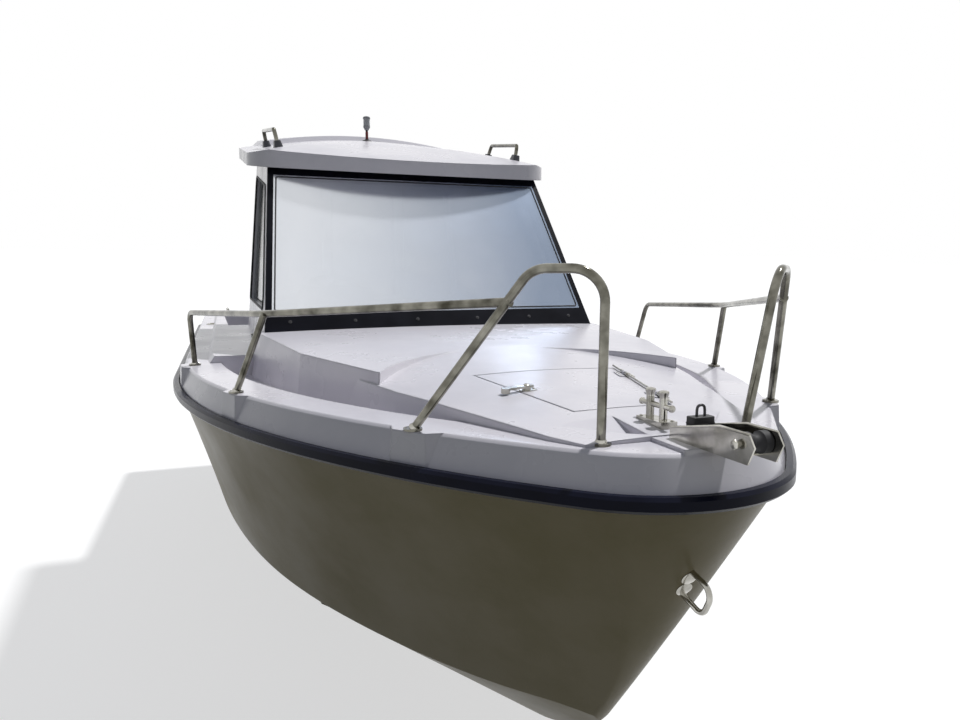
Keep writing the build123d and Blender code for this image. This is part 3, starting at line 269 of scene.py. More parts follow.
def line_inside(material, liner):
    """Gives the sides that face into the boat, and those that face up, the liner's colour; the other sides
    keep the material's colour, which on the hull is painted shade.
    """
    tree = material.node_tree
    shader = tree.nodes["Principled BSDF"]
    outside = shader.inputs["Base Color"].links[0].from_socket
    surface = add(tree, "ShaderNodeNewGeometry")
    facing = add(tree, "ShaderNodeSeparateXYZ", {"Vector": surface.outputs["True Normal"]})
    place = add(tree, "ShaderNodeSeparateXYZ", {"Vector": surface.outputs["Position"]})
    outward = add(tree, "ShaderNodeMath", {0: facing.outputs["X"], 1: place.outputs["X"]},
                  operation="MULTIPLY")
    inward = add(tree, "ShaderNodeMath", {0: outward.outputs["Value"], 1: -0.02}, operation="LESS_THAN")
    upward = add(tree, "ShaderNodeMath", {0: facing.outputs["Z"], 1: 0.6}, operation="GREATER_THAN")
    forward = add(tree, "ShaderNodeMath", {0: facing.outputs["Y"], 1: -0.6}, operation="LESS_THAN")
    aft = add(tree, "ShaderNodeMath", {0: place.outputs["Y"], 1: 1.0}, operation="GREATER_THAN")
    transom = add(tree, "ShaderNodeMath", {0: forward.outputs["Value"], 1: aft.outputs["Value"]},
                  operation="MULTIPLY")
    # The engine well's front wall stands ahead of the transom, which is aft of 2.7 m
    rearward = add(tree, "ShaderNodeMath", {0: facing.outputs["Y"], 1: 0.6}, operation="GREATER_THAN")
    ahead = add(tree, "ShaderNodeMath", {0: place.outputs["Y"], 1: 2.7}, operation="LESS_THAN")
    well = add(tree, "ShaderNodeMath", {0: rearward.outputs["Value"], 1: ahead.outputs["Value"]},
               operation="MULTIPLY")
    inside = add(tree, "ShaderNodeMath", {0: inward.outputs["Value"], 1: upward.outputs["Value"]},
                 operation="MAXIMUM")
    for wall in (transom, well):
        inside = add(tree, "ShaderNodeMath", {0: inside.outputs["Value"], 1: wall.outputs["Value"]},
                     operation="MAXIMUM")
    # A colour mix has its share at input 0, its colours at 6 and 7, and gives its colour at output 2
    tint = add(tree, "ShaderNodeMix", {0: inside.outputs["Value"], 6: outside, 7: linear(liner)},
               data_type="RGBA")
    tree.links.new(tint.outputs[2], shader.inputs["Base Color"])


deck_gelcoat = moulded_gelcoat("white_deck_gelcoat", "#dad7dd", "#ceccd3", 24)
# The hull's taupe is painted shade with a painted reflection of grass, standing for a paler hull
hull_gelcoat = moulded_gelcoat("hull_gelcoat_painted_shade", "#897f66", "#7e7559", 60, gloss=0.3, specular=0.08,
                               coat=0.03)
line_inside(hull_gelcoat, "#b7b6b8")
liner_gelcoat = moulded_gelcoat("grey_liner_gelcoat", "#b9b9be", "#a7a7ab", 18, gloss=0.4)
stainless = metal("brushed_stainless_plate", "#8b8981", "#cbc9c2", 0.12, 0.26)
# The tubes' dark olive tones are a painted reflection of dark ground and trees
tube_steel = metal("stainless_tube_painted_reflection", "#403e35", "#8f8d83", 0.07, 0.2)
rail_pvc = moulded_plastic("navy_extruded_pvc", "#0e1020", "#181b2d", 1.6, 0.22, 0.1, 0.08)
frame_black = moulded_plastic("black_window_frame", "#0a0b13", "#12131c", 1.0, 0.34, 0.1, 0.06)
black_plastic = moulded_plastic("black_grained_plastic", "#141417", "#26262a", 1.4, 0.45)
rubber = moulded_plastic("black_moulded_rubber", "#17171a", "#2b2b2e", 2.2, 0.6)
# The windscreen's pale to blue-grey colour is a painted reflection of sky and shade
screen_glass = window_glass("windscreen_painted_reflection", "#93a0b4", "#eef1f6", (-0.45, 0.75), 0.78, 0.8,
                            0.2)
# The side glass's grey-green is its tint with a painted reflection of foliage; the starboard pane is painted
# paler than the port one
side_glass = window_glass("side_glass_tint_and_painted_reflection", "#2f3a36", "#56625a", (-0.9, 1.1), 0.6, 0.3)
fabric = coated_fabric()
engine_enamel = moulded_plastic("grey_stoved_enamel", "#34373d", "#41444a", 3.0, 0.3, 0.05)
cowl_plastic = moulded_plastic("dark_painted_cowl", "#1d2026", "#2a2d33", 4.0, 0.2, 0.03)
cast_aluminium = moulded_plastic("painted_cast_aluminium", "#63666b", "#7b7e82", 1.8, 0.35, 0.15)
dark_screw = metal("black_oxide_screw", "#2b2b2e", "#4a4a4c", 0.3, 0.45)
light_grey_plastic = moulded_plastic("light_grey_plastic", "#9b9c9e", "#86878a", 1.2, 0.35, 0.1)
handle_plastic = moulded_plastic("dark_grey_handle_foot", "#3a3b40", "#4c4d52", 1.2, 0.4)
red_plastic = moulded_plastic("dark_red_plastic", "#5a1516", "#6e2322", 1.2, 0.35, 0.1)
clear_lens = lens_plastic("clear_ribbed_lens", "#dfe3e6")
red_lens = lens_plastic("red_ribbed_lens", "#b3161a")
green_lens = lens_plastic("green_ribbed_lens", "#0f7a46")
piping_vinyl = moulded_plastic("grey_vinyl_piping", "#6c6d72", "#7c7d82", 1.0, 0.5, 0.15)
thread = moulded_plastic("white_bonded_thread", "#d8d8d6", "#c2c2c0", 0.6, 0.7, 0.5)
tread_gelcoat = anti_slip_gelcoat()


# The solids that each finish is on
NODE_FINISH = {
    deck_gelcoat: ("deck", "foredeck_hatch", "cabin_side_port", "cabin_side_starboard", "roof",
                   "aft_bulkhead", "cabin_door"),
    hull_gelcoat: ("hull",),
    liner_gelcoat: ("helm_console", "helm_seat", "passenger_seat", "stern_bench", "bench_lid"),
    stainless: ("hatch_latch", "hatch_hinges", "door_hinges", "bollard", "roller_bracket", "bow_eye",
                "stern_cleats"),
    tube_steel: ("pulpit_port", "pulpit_starboard", "roof_handle_port", "roof_handle_starboard"),
    rail_pvc: ("rub_rail",),
    frame_black: ("windscreen_frame",),
    black_plastic: ("masthead_light", "side_light_port", "side_light_starboard", "roller_lock",
                    "steering_wheel"),
    rubber: ("bow_roller",),
    screen_glass: ("windscreen_glass",),
    side_glass: ("side_glass_port", "side_glass_starboard", "door_glass"),
    fabric: ("helm_cushions", "passenger_cushions", "bench_cushion"),
    engine_enamel: ("engine_bracket", "engine_swivel", "engine_leg", "gearcase"),
    cowl_plastic: ("engine_cowl",),
    cast_aluminium: ("propeller",),
}
for finish, names in NODE_FINISH.items():
    for name in names:
        nodes[name].data.materials.clear()
        nodes[name].data.materials.append(finish)


# Forms
def turned(profile, steps=28):
    """A form turned about Z from (radius, height) pairs."""
    bm = bmesh.new()
    rings = []
    angles = [2 * math.pi * k / steps for k in range(steps)]
    for radius, height in profile:
        rings.append([bm.verts.new((radius * math.cos(t), radius * math.sin(t), height)) for t in angles])
    for low, high in zip(rings, rings[1:]):
        for k in range(steps):
            bm.faces.new((low[k], low[(k + 1) % steps], high[(k + 1) % steps], high[k]))
    bm.faces.new(reversed(rings[0]))
    bm.faces.new(rings[-1])
    bmesh.ops.remove_doubles(bm, verts=bm.verts, dist=1e-6)
    return bm


def rounded(corners, radius, steps=5):
    """Points of a polygon with its corners rounded."""
    points = []
    for k, corner in enumerate(corners):
        corner = Vector(corner)
        before = (Vector(corners[k - 1]) - corner).normalized()
        after = (Vector(corners[(k + 1) % len(corners)]) - corner).normalized()
        half = before.angle(after) / 2
        reach = radius / math.tan(half)
        centre = corner + (before + after).normalized() * radius / math.sin(half)
        start = (corner + before * reach - centre).normalized()
        end = (corner + after * reach - centre).normalized()
        for step in range(steps + 1):
            points.append(centre + start.slerp(end, step / steps) * radius)
    return points


def rectangle(width, length, radius, x=0.0, y=0.0):
    w, l = width / 2, length / 2
    return rounded([(x - w, y - l, 0), (x + w, y - l, 0), (x + w, y + l, 0), (x - w, y + l, 0)], radius)


def prism(outline, low, high, shrink=0.0):
    """An outline's points raised from low to high, drawn in by shrink at the top."""
    bm = bmesh.new()
    middle = sum((Vector(p) for p in outline), Vector()) / len(outline)
    foot, top = [], []
    for point in outline:
        inward = middle - point
        inward.z = 0
        foot.append(bm.verts.new((point[0], point[1], low)))
        drawn = point + inward.normalized() * shrink
        top.append(bm.verts.new((drawn[0], drawn[1], high)))
    bm.faces.new(reversed(foot))
    bm.faces.new(top)
    for k in range(len(foot)):
        after = (k + 1) % len(foot)
        bm.faces.new((foot[k], foot[after], top[after], top[k]))
    return bm


def lay(name, obj, material, body, at):
    """Puts a new object in its place, in its material and on its body."""
    bpy.context.scene.collection.objects.link(obj)
    obj.matrix_world = at
    obj.data.materials.append(material)
    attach(obj, body)
    return obj


def piece(name, bm, material, body, at=DECK, bevel=0.0, crease=35.0, subdivide=0):
    """A mesh piece with eased edges."""
    mesh = bpy.data.meshes.new(name)
    bmesh.ops.recalc_face_normals(bm, faces=bm.faces)
    bm.to_mesh(mesh)
    bm.free()
    mesh.shade_smooth()
    mesh.set_sharp_from_angle(angle=math.radians(crease))
    obj = lay(name, bpy.data.objects.new(name, mesh), material, body, at)
    if bevel:
        edge = obj.modifiers.new("eased_edge", "BEVEL")
        edge.width = bevel
        edge.segments = 3
        edge.limit_method = "ANGLE"
        edge.harden_normals = True
    if subdivide:
        obj.modifiers.new("smooth", "SUBSURF").levels = subdivide
        obj.modifiers["smooth"].render_levels = subdivide
    return obj


def bead(name, points, radius, material, body, at=DECK, closed=False, soft=False):
    """A round bead or bar along points; soft rounds its way between them."""
    curve = bpy.data.curves.new(name, "CURVE")
    curve.dimensions = "3D"
    curve.bevel_depth = radius
    curve.bevel_resolution = 4
    curve.use_fill_caps = True
    spline = curve.splines.new("NURBS" if soft else "POLY")
    spline.points.add(len(points) - 1)
    for slot_point, point in zip(spline.points, points):
        slot_point.co = (*point, 1.0)
    spline.use_cyclic_u = closed
    if soft:
        spline.order_u = 3
        spline.use_endpoint_u = not closed
        spline.resolution_u = 8
    spline.use_smooth = True
    return lay(name, bpy.data.objects.new(name, curve), material, body, at)


def upright(point, normal, along=(0.0, 1.0, 0.0)):
    """A frame at a point with Z along a normal and Y near along."""
    z = Vector(normal).normalized()
    x = Vector(along).cross(z).normalized()
    return Matrix.Translation(point) @ Matrix((x, z.cross(x), z)).transposed().to_4x4()


def touch(node, start, direction, along=(0.0, 1.0, 0.0), at=DECK):
    """A frame on a CAD node's surface, where a ray from start first meets it."""
    origin = at @ Vector(start)
    ray = (at.to_3x3() @ Vector(direction)).normalized()
    found, place, normal, _ = nodes[node].ray_cast(origin, ray)
    if not found:
        raise ValueError(f"no surface of {node} from {start}")
    return upright(place, normal, at.to_3x3() @ Vector(along))


SCREW_COUNT = {}


def screw(at, body, radius=0.0045, material=None, height=0.5):
    """Domed socket-head screw on its washer."""
    number = SCREW_COUNT.get(body, 0) + 1
    SCREW_COUNT[body] = number
    r, h = radius, radius * height
    profile = [(1.5 * r, 0), (1.5 * r, 0.15 * r), (r, 0.2 * r), (r, 0.35 * r + 0.3 * h),
               (0.8 * r, 0.2 * r + h), (0.48 * r, 0.2 * r + 1.05 * h), (0.4 * r, 0.2 * r + 0.6 * h),
               (0, 0.2 * r + 0.5 * h)]
    return piece(f"screw_{body}_{number}", turned(profile, 20), material or stainless, body, at)


# Planes that carry fittings, with X to port, Y up the slope or aft, and Z outward
def screen_frame(x, up):
    """A place on the windscreen, up its slope from the foot."""
    turn = Matrix.Rotation(SCREEN_SLOPE, 4, "X")
    return DECK @ turn @ shift(x, up, 0)


def mirrored(point, side):
    return (point[0] * side, point[1], point[2])


def named(side):
    return "port" if side > 0 else "starboard"


# Windscreen and cabin windows
SCREEN_LENGTH = math.hypot(SCREEN_RUN, SCREEN_RISE)
SCREEN_FOOT_HALF = 0.800
SCREEN_TOP_HALF = 0.727
SCREEN_FOOT_BAND = 0.087
SCREEN_SIDE_BAND = 0.040
SCREEN_HEAD_BAND = 0.009
# The foot band's screws, from the starboard end
SCREEN_SCREWS = (-0.69, -0.40, -0.105, 0.195, 0.47, 0.69)


def dress_windscreen():
    lean = (SCREEN_FOOT_HALF - SCREEN_TOP_HALF) / SCREEN_LENGTH
    ends = (SCREEN_FOOT_BAND, SCREEN_LENGTH - SCREEN_HEAD_BAND)
    low, high = ((SCREEN_FOOT_HALF - lean * up - SCREEN_SIDE_BAND, up) for up in ends)
    corners = [(-low[0], low[1], 0), (low[0], low[1], 0), (high[0], high[1], 0), (-high[0], high[1], 0)]
    bead("windscreen_gasket", rounded(corners, 0.012), 0.0035, rubber, "boat", screen_frame(0, 0),
         closed=True)
    for x in SCREEN_SCREWS:
        screw(screen_frame(x, 0.03), "boat", 0.0055, dark_screw)


# Side window in the cabin side, as (place along the boat, height), and the cabin's half width
WINDOW = ((0.175, 0.070), (0.610, 0.680), (1.860, 0.880), (1.860, 0.070))
WINDOW_CORNER = 0.055
CABIN_TAPER = math.tan(math.radians(1.2))
CABIN_LEAN = (SCREEN_FOOT_HALF - SCREEN_TOP_HALF - SCREEN_RUN * CABIN_TAPER) / SCREEN_RISE


def cabin_half(y, z):
    return SCREEN_FOOT_HALF - CABIN_TAPER * y - CABIN_LEAN * z


def dress_side_windows():
    outline = rounded([(0, y, z) for y, z in WINDOW], WINDOW_CORNER, 8)
    for side in (1, -1):
        points = [(side * (cabin_half(p.y, p.z) + 0.0005), p.y, p.z) for p in outline]
        bead(f"side_window_gasket_{named(side)}", points, 0.006, rubber, "boat", closed=True)


# Foredeck hatch, in a frame on the cambered foredeck
HATCH_AFT_Y = -1.150
HATCH_AFT_HALF = 0.252
HATCH_FRONT_HALF = 0.148
HATCH_LENGTH = 0.470
FOREDECK_TOP_Y = -0.722
FOREDECK_TOP_Z = -0.038
FOREDECK_TAN = math.tan(math.radians(FOREDECK_FALL))
FOREDECK_AFT_Z = FOREDECK_TOP_Z - (FOREDECK_TOP_Y - HATCH_AFT_Y) * FOREDECK_TAN
FOREDECK = DECK @ shift(0, HATCH_AFT_Y, FOREDECK_AFT_Z) @ spin(FOREDECK_FALL, "X")


def foredeck_dip(x):
    return 0.052 * (x / 0.702) ** 2


def dress_hatch():
    aft, front, length, half_gap = HATCH_AFT_HALF, HATCH_FRONT_HALF, HATCH_LENGTH, 0.002
    corners = [(aft + half_gap, half_gap), (-aft - half_gap, half_gap),
               (-front - half_gap, -length - half_gap), (front + half_gap, -length - half_gap)]
    points = []
    for k, (x0, y0) in enumerate(corners):
        x1, y1 = corners[(k + 1) % 4]
        for step in range(10):
            x = x0 + (x1 - x0) * step / 10
            points.append((x, y0 + (y1 - y0) * step / 10, -0.0055 - foredeck_dip(x)))
    bead("hatch_seal", points, 0.0021, rubber, "hatch", FOREDECK, closed=True)
    edge = Vector((front - aft, -length, 0)).normalized()
    outward = Vector((-edge.y, edge.x, 0))
    for share in (0.22, 0.8):
        middle = Vector((aft + 0.002, 0, 0)) + edge * (share * math.hypot(aft - front, length))
        for along in (-0.02, 0.0, 0.02):
            for body, reach in (("boat", 0.018), ("hatch", -0.018)):
                spot = middle + edge * along + outward * reach
                node = "hatch_hinges" if body == "boat" else "foredeck_hatch"
                screw(touch(node, (spot.x, spot.y, 0.05), (0, 0, -1), at=FOREDECK), body, 0.0024)
    latch = FOREDECK @ shift(-0.200, -0.235, -foredeck_dip(0.200)) @ spin(14, "Z")
    for x in (0.014, 0.052):
        screw(latch @ shift(x, 0, 0.004), "hatch", 0.003)
    cap = [(0.009, 0.016), (0.009, 0.019), (0.006, 0.021), (0, 0.0215)]
    piece("latch_pivot_cap", turned(cap), stainless, "hatch", latch @ shift(0.026, 0, 0))


# Pulpit: each foot's place on the toe rail and a point up its tube
TOE_RAIL_Z = -0.150
TUBE_RADIUS = 0.011
PULPIT_LEGS = (((0.563, -1.549, TOE_RAIL_Z), (0.358, -1.804, 0.250)),
               ((0.203, -1.852, TOE_RAIL_Z), (0.232, -1.909, 0.250)),
               ((1.090, 0.015, TOE_RAIL_Z), (1.101, -0.065, 0.078)),
               ((0.954, -0.796, TOE_RAIL_Z), (0.868, -0.949, 0.114)))


def dress_pulpits():
    weld = [(TUBE_RADIUS - 0.001, -0.004), (TUBE_RADIUS + 0.0045, 0.0), (TUBE_RADIUS + 0.003, 0.0035),
            (TUBE_RADIUS + 0.0002, 0.009)]
    for side in (1, -1):
        for number, (foot, head) in enumerate(PULPIT_LEGS, 1):
            foot = Vector(mirrored(foot, side))
            lean = (Vector(mirrored(head, side)) - foot).normalized()
            start = foot + lean * (0.006 / lean.z)
            at = DECK @ upright(start, lean)
            piece(f"pulpit_weld_{named(side)}_{number}", turned(weld), stainless, "boat", at)
            for turn in (30, 150, 270):
                t = math.radians(turn)
                spot = foot + Vector((0.0185 * math.cos(t), 0.0185 * math.sin(t), 0))
                screw(DECK @ Matrix.Translation(spot + Vector((0, 0, 0.006))), "boat", 0.0026)


# Roof fittings
ROOF_HANDLE_FEET = ((0.657, 0.646), (0.674, 1.120))
ROOF_TOP_Z = 1.6
HANDLE_RISE = 0.088
# Places on the bar from each foot, as (along the boat, height)
HANDLE_RUNS = (((0.0, 0.01), (0.012, HANDLE_RISE), (0.045, HANDLE_RISE)),
               ((-0.045, HANDLE_RISE), (-0.012, HANDLE_RISE), (0.0, 0.01)))


def dress_roof_handles():
    for side in (1, -1):
        feet = [touch("roof", (side * x, y, ROOF_TOP_Z), (0, 0, -1)) for x, y in ROOF_HANDLE_FEET]
        run = [at @ Vector((0, along, height)) for at, places in zip(feet, HANDLE_RUNS)
               for along, height in places]
        bail = bead(f"handle_bail_{named(side)}", run, 0.0105, tube_steel, "boat", Matrix(), soft=True)
        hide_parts(f"roof_handle_{named(side)}")
        for number, at in enumerate(feet, 1):
            foot = prism(rectangle(0.046, 0.076, 0.014), -0.004, 0.034, 0.011)
            piece(f"handle_foot_{named(side)}_{number}", foot, handle_plastic, "boat", at, bevel=0.003)
            for along in (-0.029, 0.029):
                screw(at @ shift(0, along, 0.009), "boat", 0.003)


LIGHT_Y = 1.576
LIGHT_TOP_Z = 1.247


def dress_masthead_light():
    at = DECK @ shift(0, LIGHT_Y, LIGHT_TOP_Z)
    lens = [(0.0205, -0.046), (0.0212, -0.043), (0.0205, -0.036), (0.0212, -0.03), (0.0205, -0.022),
            (0.0212, -0.015), (0.0205, -0.008), (0.0212, -0.004)]
    piece("masthead_lens", turned(lens), clear_lens, "boat", at)
    cap = [(0.0235, -0.004), (0.0245, 0.002), (0.0225, 0.008), (0.014, 0.013), (0, 0.015)]
    piece("masthead_cap", turned(cap), light_grey_plastic, "boat", at)
    collar = [(0.012, -0.075), (0.0225, -0.056), (0.0225, -0.049), (0.0205, -0.046)]
    piece("masthead_collar", turned(collar), light_grey_plastic, "boat", at)
    stalk = [(0.0086, -0.165), (0.0092, -0.16), (0.0092, -0.09), (0.0086, -0.085)]
    piece("masthead_sleeve", turned(stalk), red_plastic, "boat", at)
    foot = touch("roof", (0.03, LIGHT_Y, ROOF_TOP_Z), (0, 0, -1)) @ shift(-0.03, 0, 0)
    flange = [(0.029, -0.003), (0.029, 0.004), (0.025, 0.007), (0.014, 0.010), (0.011, 0.016)]
    piece("masthead_flange", turned(flange), black_plastic, "boat", foot)
    for turn in (90, 210, 330):
        spot = spin(turn, "Z") @ shift(0.0205, 0, 0.0078)
        screw(foot @ spot, "boat", 0.0025)


# Bow fittings
BOLLARD_Y = -1.772
BOLLARD_HALF = 0.028
BOLLARD_BAR = 0.046
ROLLER_Y = -2.112
ROLLER_Z = -0.104
ROLLER_HALF = 0.034
PAD_Z = -0.141
LOCK_Y = -1.942


def dress_bow():
    base_z = FOREDECK_TOP_Z + (BOLLARD_Y - FOREDECK_TOP_Y) * FOREDECK_TAN
    flare = [(0.0102, 0), (0.0102, 0.004), (0.0128, 0.012), (0.0135, 0.0155), (0.012, 0.0185),
             (0.006, 0.0205), (0, 0.021)]
    tip = [(0.0072, 0), (0.009, 0.002), (0.009, 0.006), (0.005, 0.0095), (0, 0.010)]
    for end, place in ((1, "aft"), (-1, "front")):
        at = DECK @ shift(0, BOLLARD_Y + end * BOLLARD_HALF, base_z + 0.0655)
        piece(f"bollard_head_{place}", turned(flare), stainless, "boat", at)
        out = DECK @ shift(0, BOLLARD_Y + end * 0.059, base_z + BOLLARD_BAR) @ spin(-end * 90, "X")
        piece(f"bollard_bar_tip_{place}", turned(tip), stainless, "boat", out)
        for x in (-0.014, 0.014):
            screw(touch("bollard", (x, BOLLARD_Y + end * 0.046, 0.0), (0, 0, -1)), "boat", 0.0035)
    for side in (1, -1):
        cap = [(0.0115, 0), (0.0115, 0.003), (0.0095, 0.0055), (0.005, 0.0065), (0, 0.0065)]
        pin = DECK @ shift(side * (ROLLER_HALF + 0.0115), ROLLER_Y, ROLLER_Z) @ spin(side * 90, "Y")
        piece(f"roller_pin_cap_{named(side)}", turned(cap, 6), stainless, "boat", pin, bevel=0.0008)
        screw(DECK @ shift(side * 0.018, -1.975, PAD_Z + 0.004), "boat", 0.0045)
        screw(DECK @ shift(side * 0.018, -1.9, PAD_Z + 0.004), "boat", 0.0045)
        lip = ((-1.884, PAD_Z + 0.0262), (-2.052, PAD_Z + 0.0622), (-2.140, PAD_Z + 0.0622))
        edge = [(side * (ROLLER_HALF + 0.002), y, z) for y, z in lip]
        bead(f"roller_cheek_lip_{named(side)}", edge, 0.0032, stainless, "boat")
    knob = [(0.006, 0), (0.0085, 0.001), (0.0085, 0.009), (0.006, 0.0105), (0, 0.0105)]
    piece("lock_knob", turned(knob, 12), stainless, "boat",
          DECK @ shift(-0.018, LOCK_Y, PAD_Z + 0.035), bevel=0.0008)
    cover = prism(rectangle(0.060, 0.030, 0.005), -0.004, 0.026, 0.0008)
    place = DECK @ shift(0, LOCK_Y, PAD_Z + 0.035)
    piece("lock_cover", cover, black_plastic, "boat", place, bevel=0.0025)
    band = prism(rectangle(0.0615, 0.0315, 0.005), 0.009, 0.0115)
    piece("lock_band", band, rubber, "boat", place, bevel=0.0008)
    shackle = [(-0.011, 0, 0.022), (-0.011, 0, 0.042), (-0.008, 0, 0.049), (0, 0, 0.0515),
               (0.008, 0, 0.049), (0.011, 0, 0.042), (0.011, 0, 0.022)]
    bead("lock_shackle", shackle, 0.0032, dark_screw, "boat", place, soft=True)


def dress_bow_eye():
    for z in (-0.47, -0.505):
        found = touch("hull", (0, -2.6, z), (0, 1, 0), (0, 0, 1))
        ring = [(0.021, -0.002), (0.021, 0.002), (0.017, 0.0042), (0.009, 0.0046), (0, 0.0046)]
        piece(f"bow_eye_washer_{'upper' if z > -0.49 else 'lower'}", turned(ring), stainless, "boat", found)


# Side lights, cleats and fuel filler
def dress_side_lights():
    for side, lens_colour in ((1, red_lens), (-1, green_lens)):
        place = DECK @ shift(side * (cabin_half(0.15, -0.055) + 0.034), 0.136, -0.055)
        outline = rectangle(0.030, 0.030, 0.011)
        lens = prism(outline, -0.017, 0.017, 0.0)
        piece(f"side_light_lens_{named(side)}", lens, lens_colour, "boat", place,
              bevel=0.004)
        cap = prism(rectangle(0.036, 0.036, 0.012), 0.017, 0.023, 0.004)
        piece(f"side_light_cap_{named(side)}", cap, black_plastic, "boat", place, bevel=0.002)


CLEAT_X = 0.860
CLEAT_Y = 3.640
COAMING_Z = -0.120


def dress_stern():
    horn = [(0.0088, -0.006), (0.0098, 0.0), (0.0118, 0.006), (0.0112, 0.013), (0.006, 0.0175), (0, 0.018)]
    for side in (1, -1):
        for end in (1, -1):
            at = DECK @ shift(side * CLEAT_X, CLEAT_Y + end * 0.098, COAMING_Z + 0.034) @ spin(-end * 90, "X")
            place = "aft" if end > 0 else "front"
            piece(f"cleat_horn_{named(side)}_{place}", turned(horn), stainless, "boat", at)
        base = prism(rectangle(0.052, 0.094, 0.016), -0.001, 0.005, 0.003)
        piece(f"cleat_base_{named(side)}", base, stainless, "boat",
              DECK @ shift(side * CLEAT_X, CLEAT_Y, COAMING_Z), bevel=0.0015)
        for end in (1, -1):
            screw(DECK @ shift(side * CLEAT_X, CLEAT_Y + end * 0.034, COAMING_Z + 0.005), "boat", 0.004)
        drain = touch("hull", (side * 0.62, 4.6, -0.66), (0, -1, 0), (0, 0, 1))
        flange = [(0.026, -0.002), (0.026, 0.003), (0.022, 0.006), (0.016, 0.0065), (0.0145, 0.003),
                  (0.014, -0.002)]
        piece(f"scupper_{named(side)}", turned(flange), black_plastic, "boat", drain)
    filler = touch("deck", (-1.0, 2.6, 0.2), (0, 0, -1))
    plate = [(0.044, -0.002), (0.044, 0.003), (0.041, 0.0055), (0.0335, 0.006), (0.032, 0.004),
             (0.031, 0.0068), (0.010, 0.0075), (0, 0.0075)]
    piece("fuel_filler", turned(plate, 48), stainless, "boat", filler)
    slot_bar = prism(rectangle(0.036, 0.007, 0.003), 0.006, 0.0115, 0.001)
    piece("fuel_filler_grip", slot_bar, stainless, "boat", filler, bevel=0.001)
    for turn in range(0, 360, 72):
        spot = spin(turn, "Z") @ shift(0.0375, 0, 0.0056)
        screw(filler @ spot, "boat", 0.0024)


# Cabin door
DOOR_AFT_Y = 1.978


def dress_door():
    frame = DECK @ shift(0, DOOR_AFT_Y, 0) @ spin(-90, "X")
    # Here X is to port, Y down and Z aft
    pane = rectangle(0.440, 0.730, 0.012, 0.040, -0.445)
    for name, depth in (("outer", 0.001), ("inner", -0.037)):
        outline = [p + Vector((0, 0, depth)) for p in pane]
        bead(f"door_window_gasket_{name}", outline, 0.0055, rubber, "door", frame, closed=True)
    rose = prism(rectangle(0.044, 0.150, 0.020, -0.205, -0.010), 0, 0.007, 0.002)
    piece("door_rose", rose, stainless, "door", frame, bevel=0.0015)
    neck = [(0.010, 0.006), (0.010, 0.010), (0.0085, 0.013), (0.0085, 0.040), (0, 0.041)]
    piece("door_lever_neck", turned(neck), stainless, "door", frame @ shift(-0.205, -0.035, 0))
    lever = [(-0.205, -0.035, 0.040), (-0.180, -0.035, 0.045), (-0.140, -0.034, 0.046),
             (-0.100, -0.031, 0.042), (-0.085, -0.030, 0.037)]
    bead("door_lever", lever, 0.0075, stainless, "door", frame, soft=True)
    lock = [(0.0105, 0.006), (0.0105, 0.011), (0.008, 0.012), (0.0035, 0.012), (0.0035, 0.0105), (0, 0.0105)]
    piece("door_lock", turned(lock), stainless, "door", frame @ shift(-0.205, 0.030, 0))
    leaves = (("boat", 0.333 + 0.026, "door_hinges"), ("door", 0.333 - 0.026, "cabin_door"))
    for z in (-0.520, 0.090, 0.700):
        for along in (-0.033, 0.0, 0.033):
            for body, x, node in leaves:
                screw(touch(node, (x, 2.1, z + along), (0, -1, 0), (0, 0, 1)), body, 0.0034)


# Helm
HELM_X = -0.434
WHEEL_Y = 0.505
WHEEL_Z = 0.070
WHEEL_TILT = math.radians(25)
WHEEL_RADIUS = 0.170


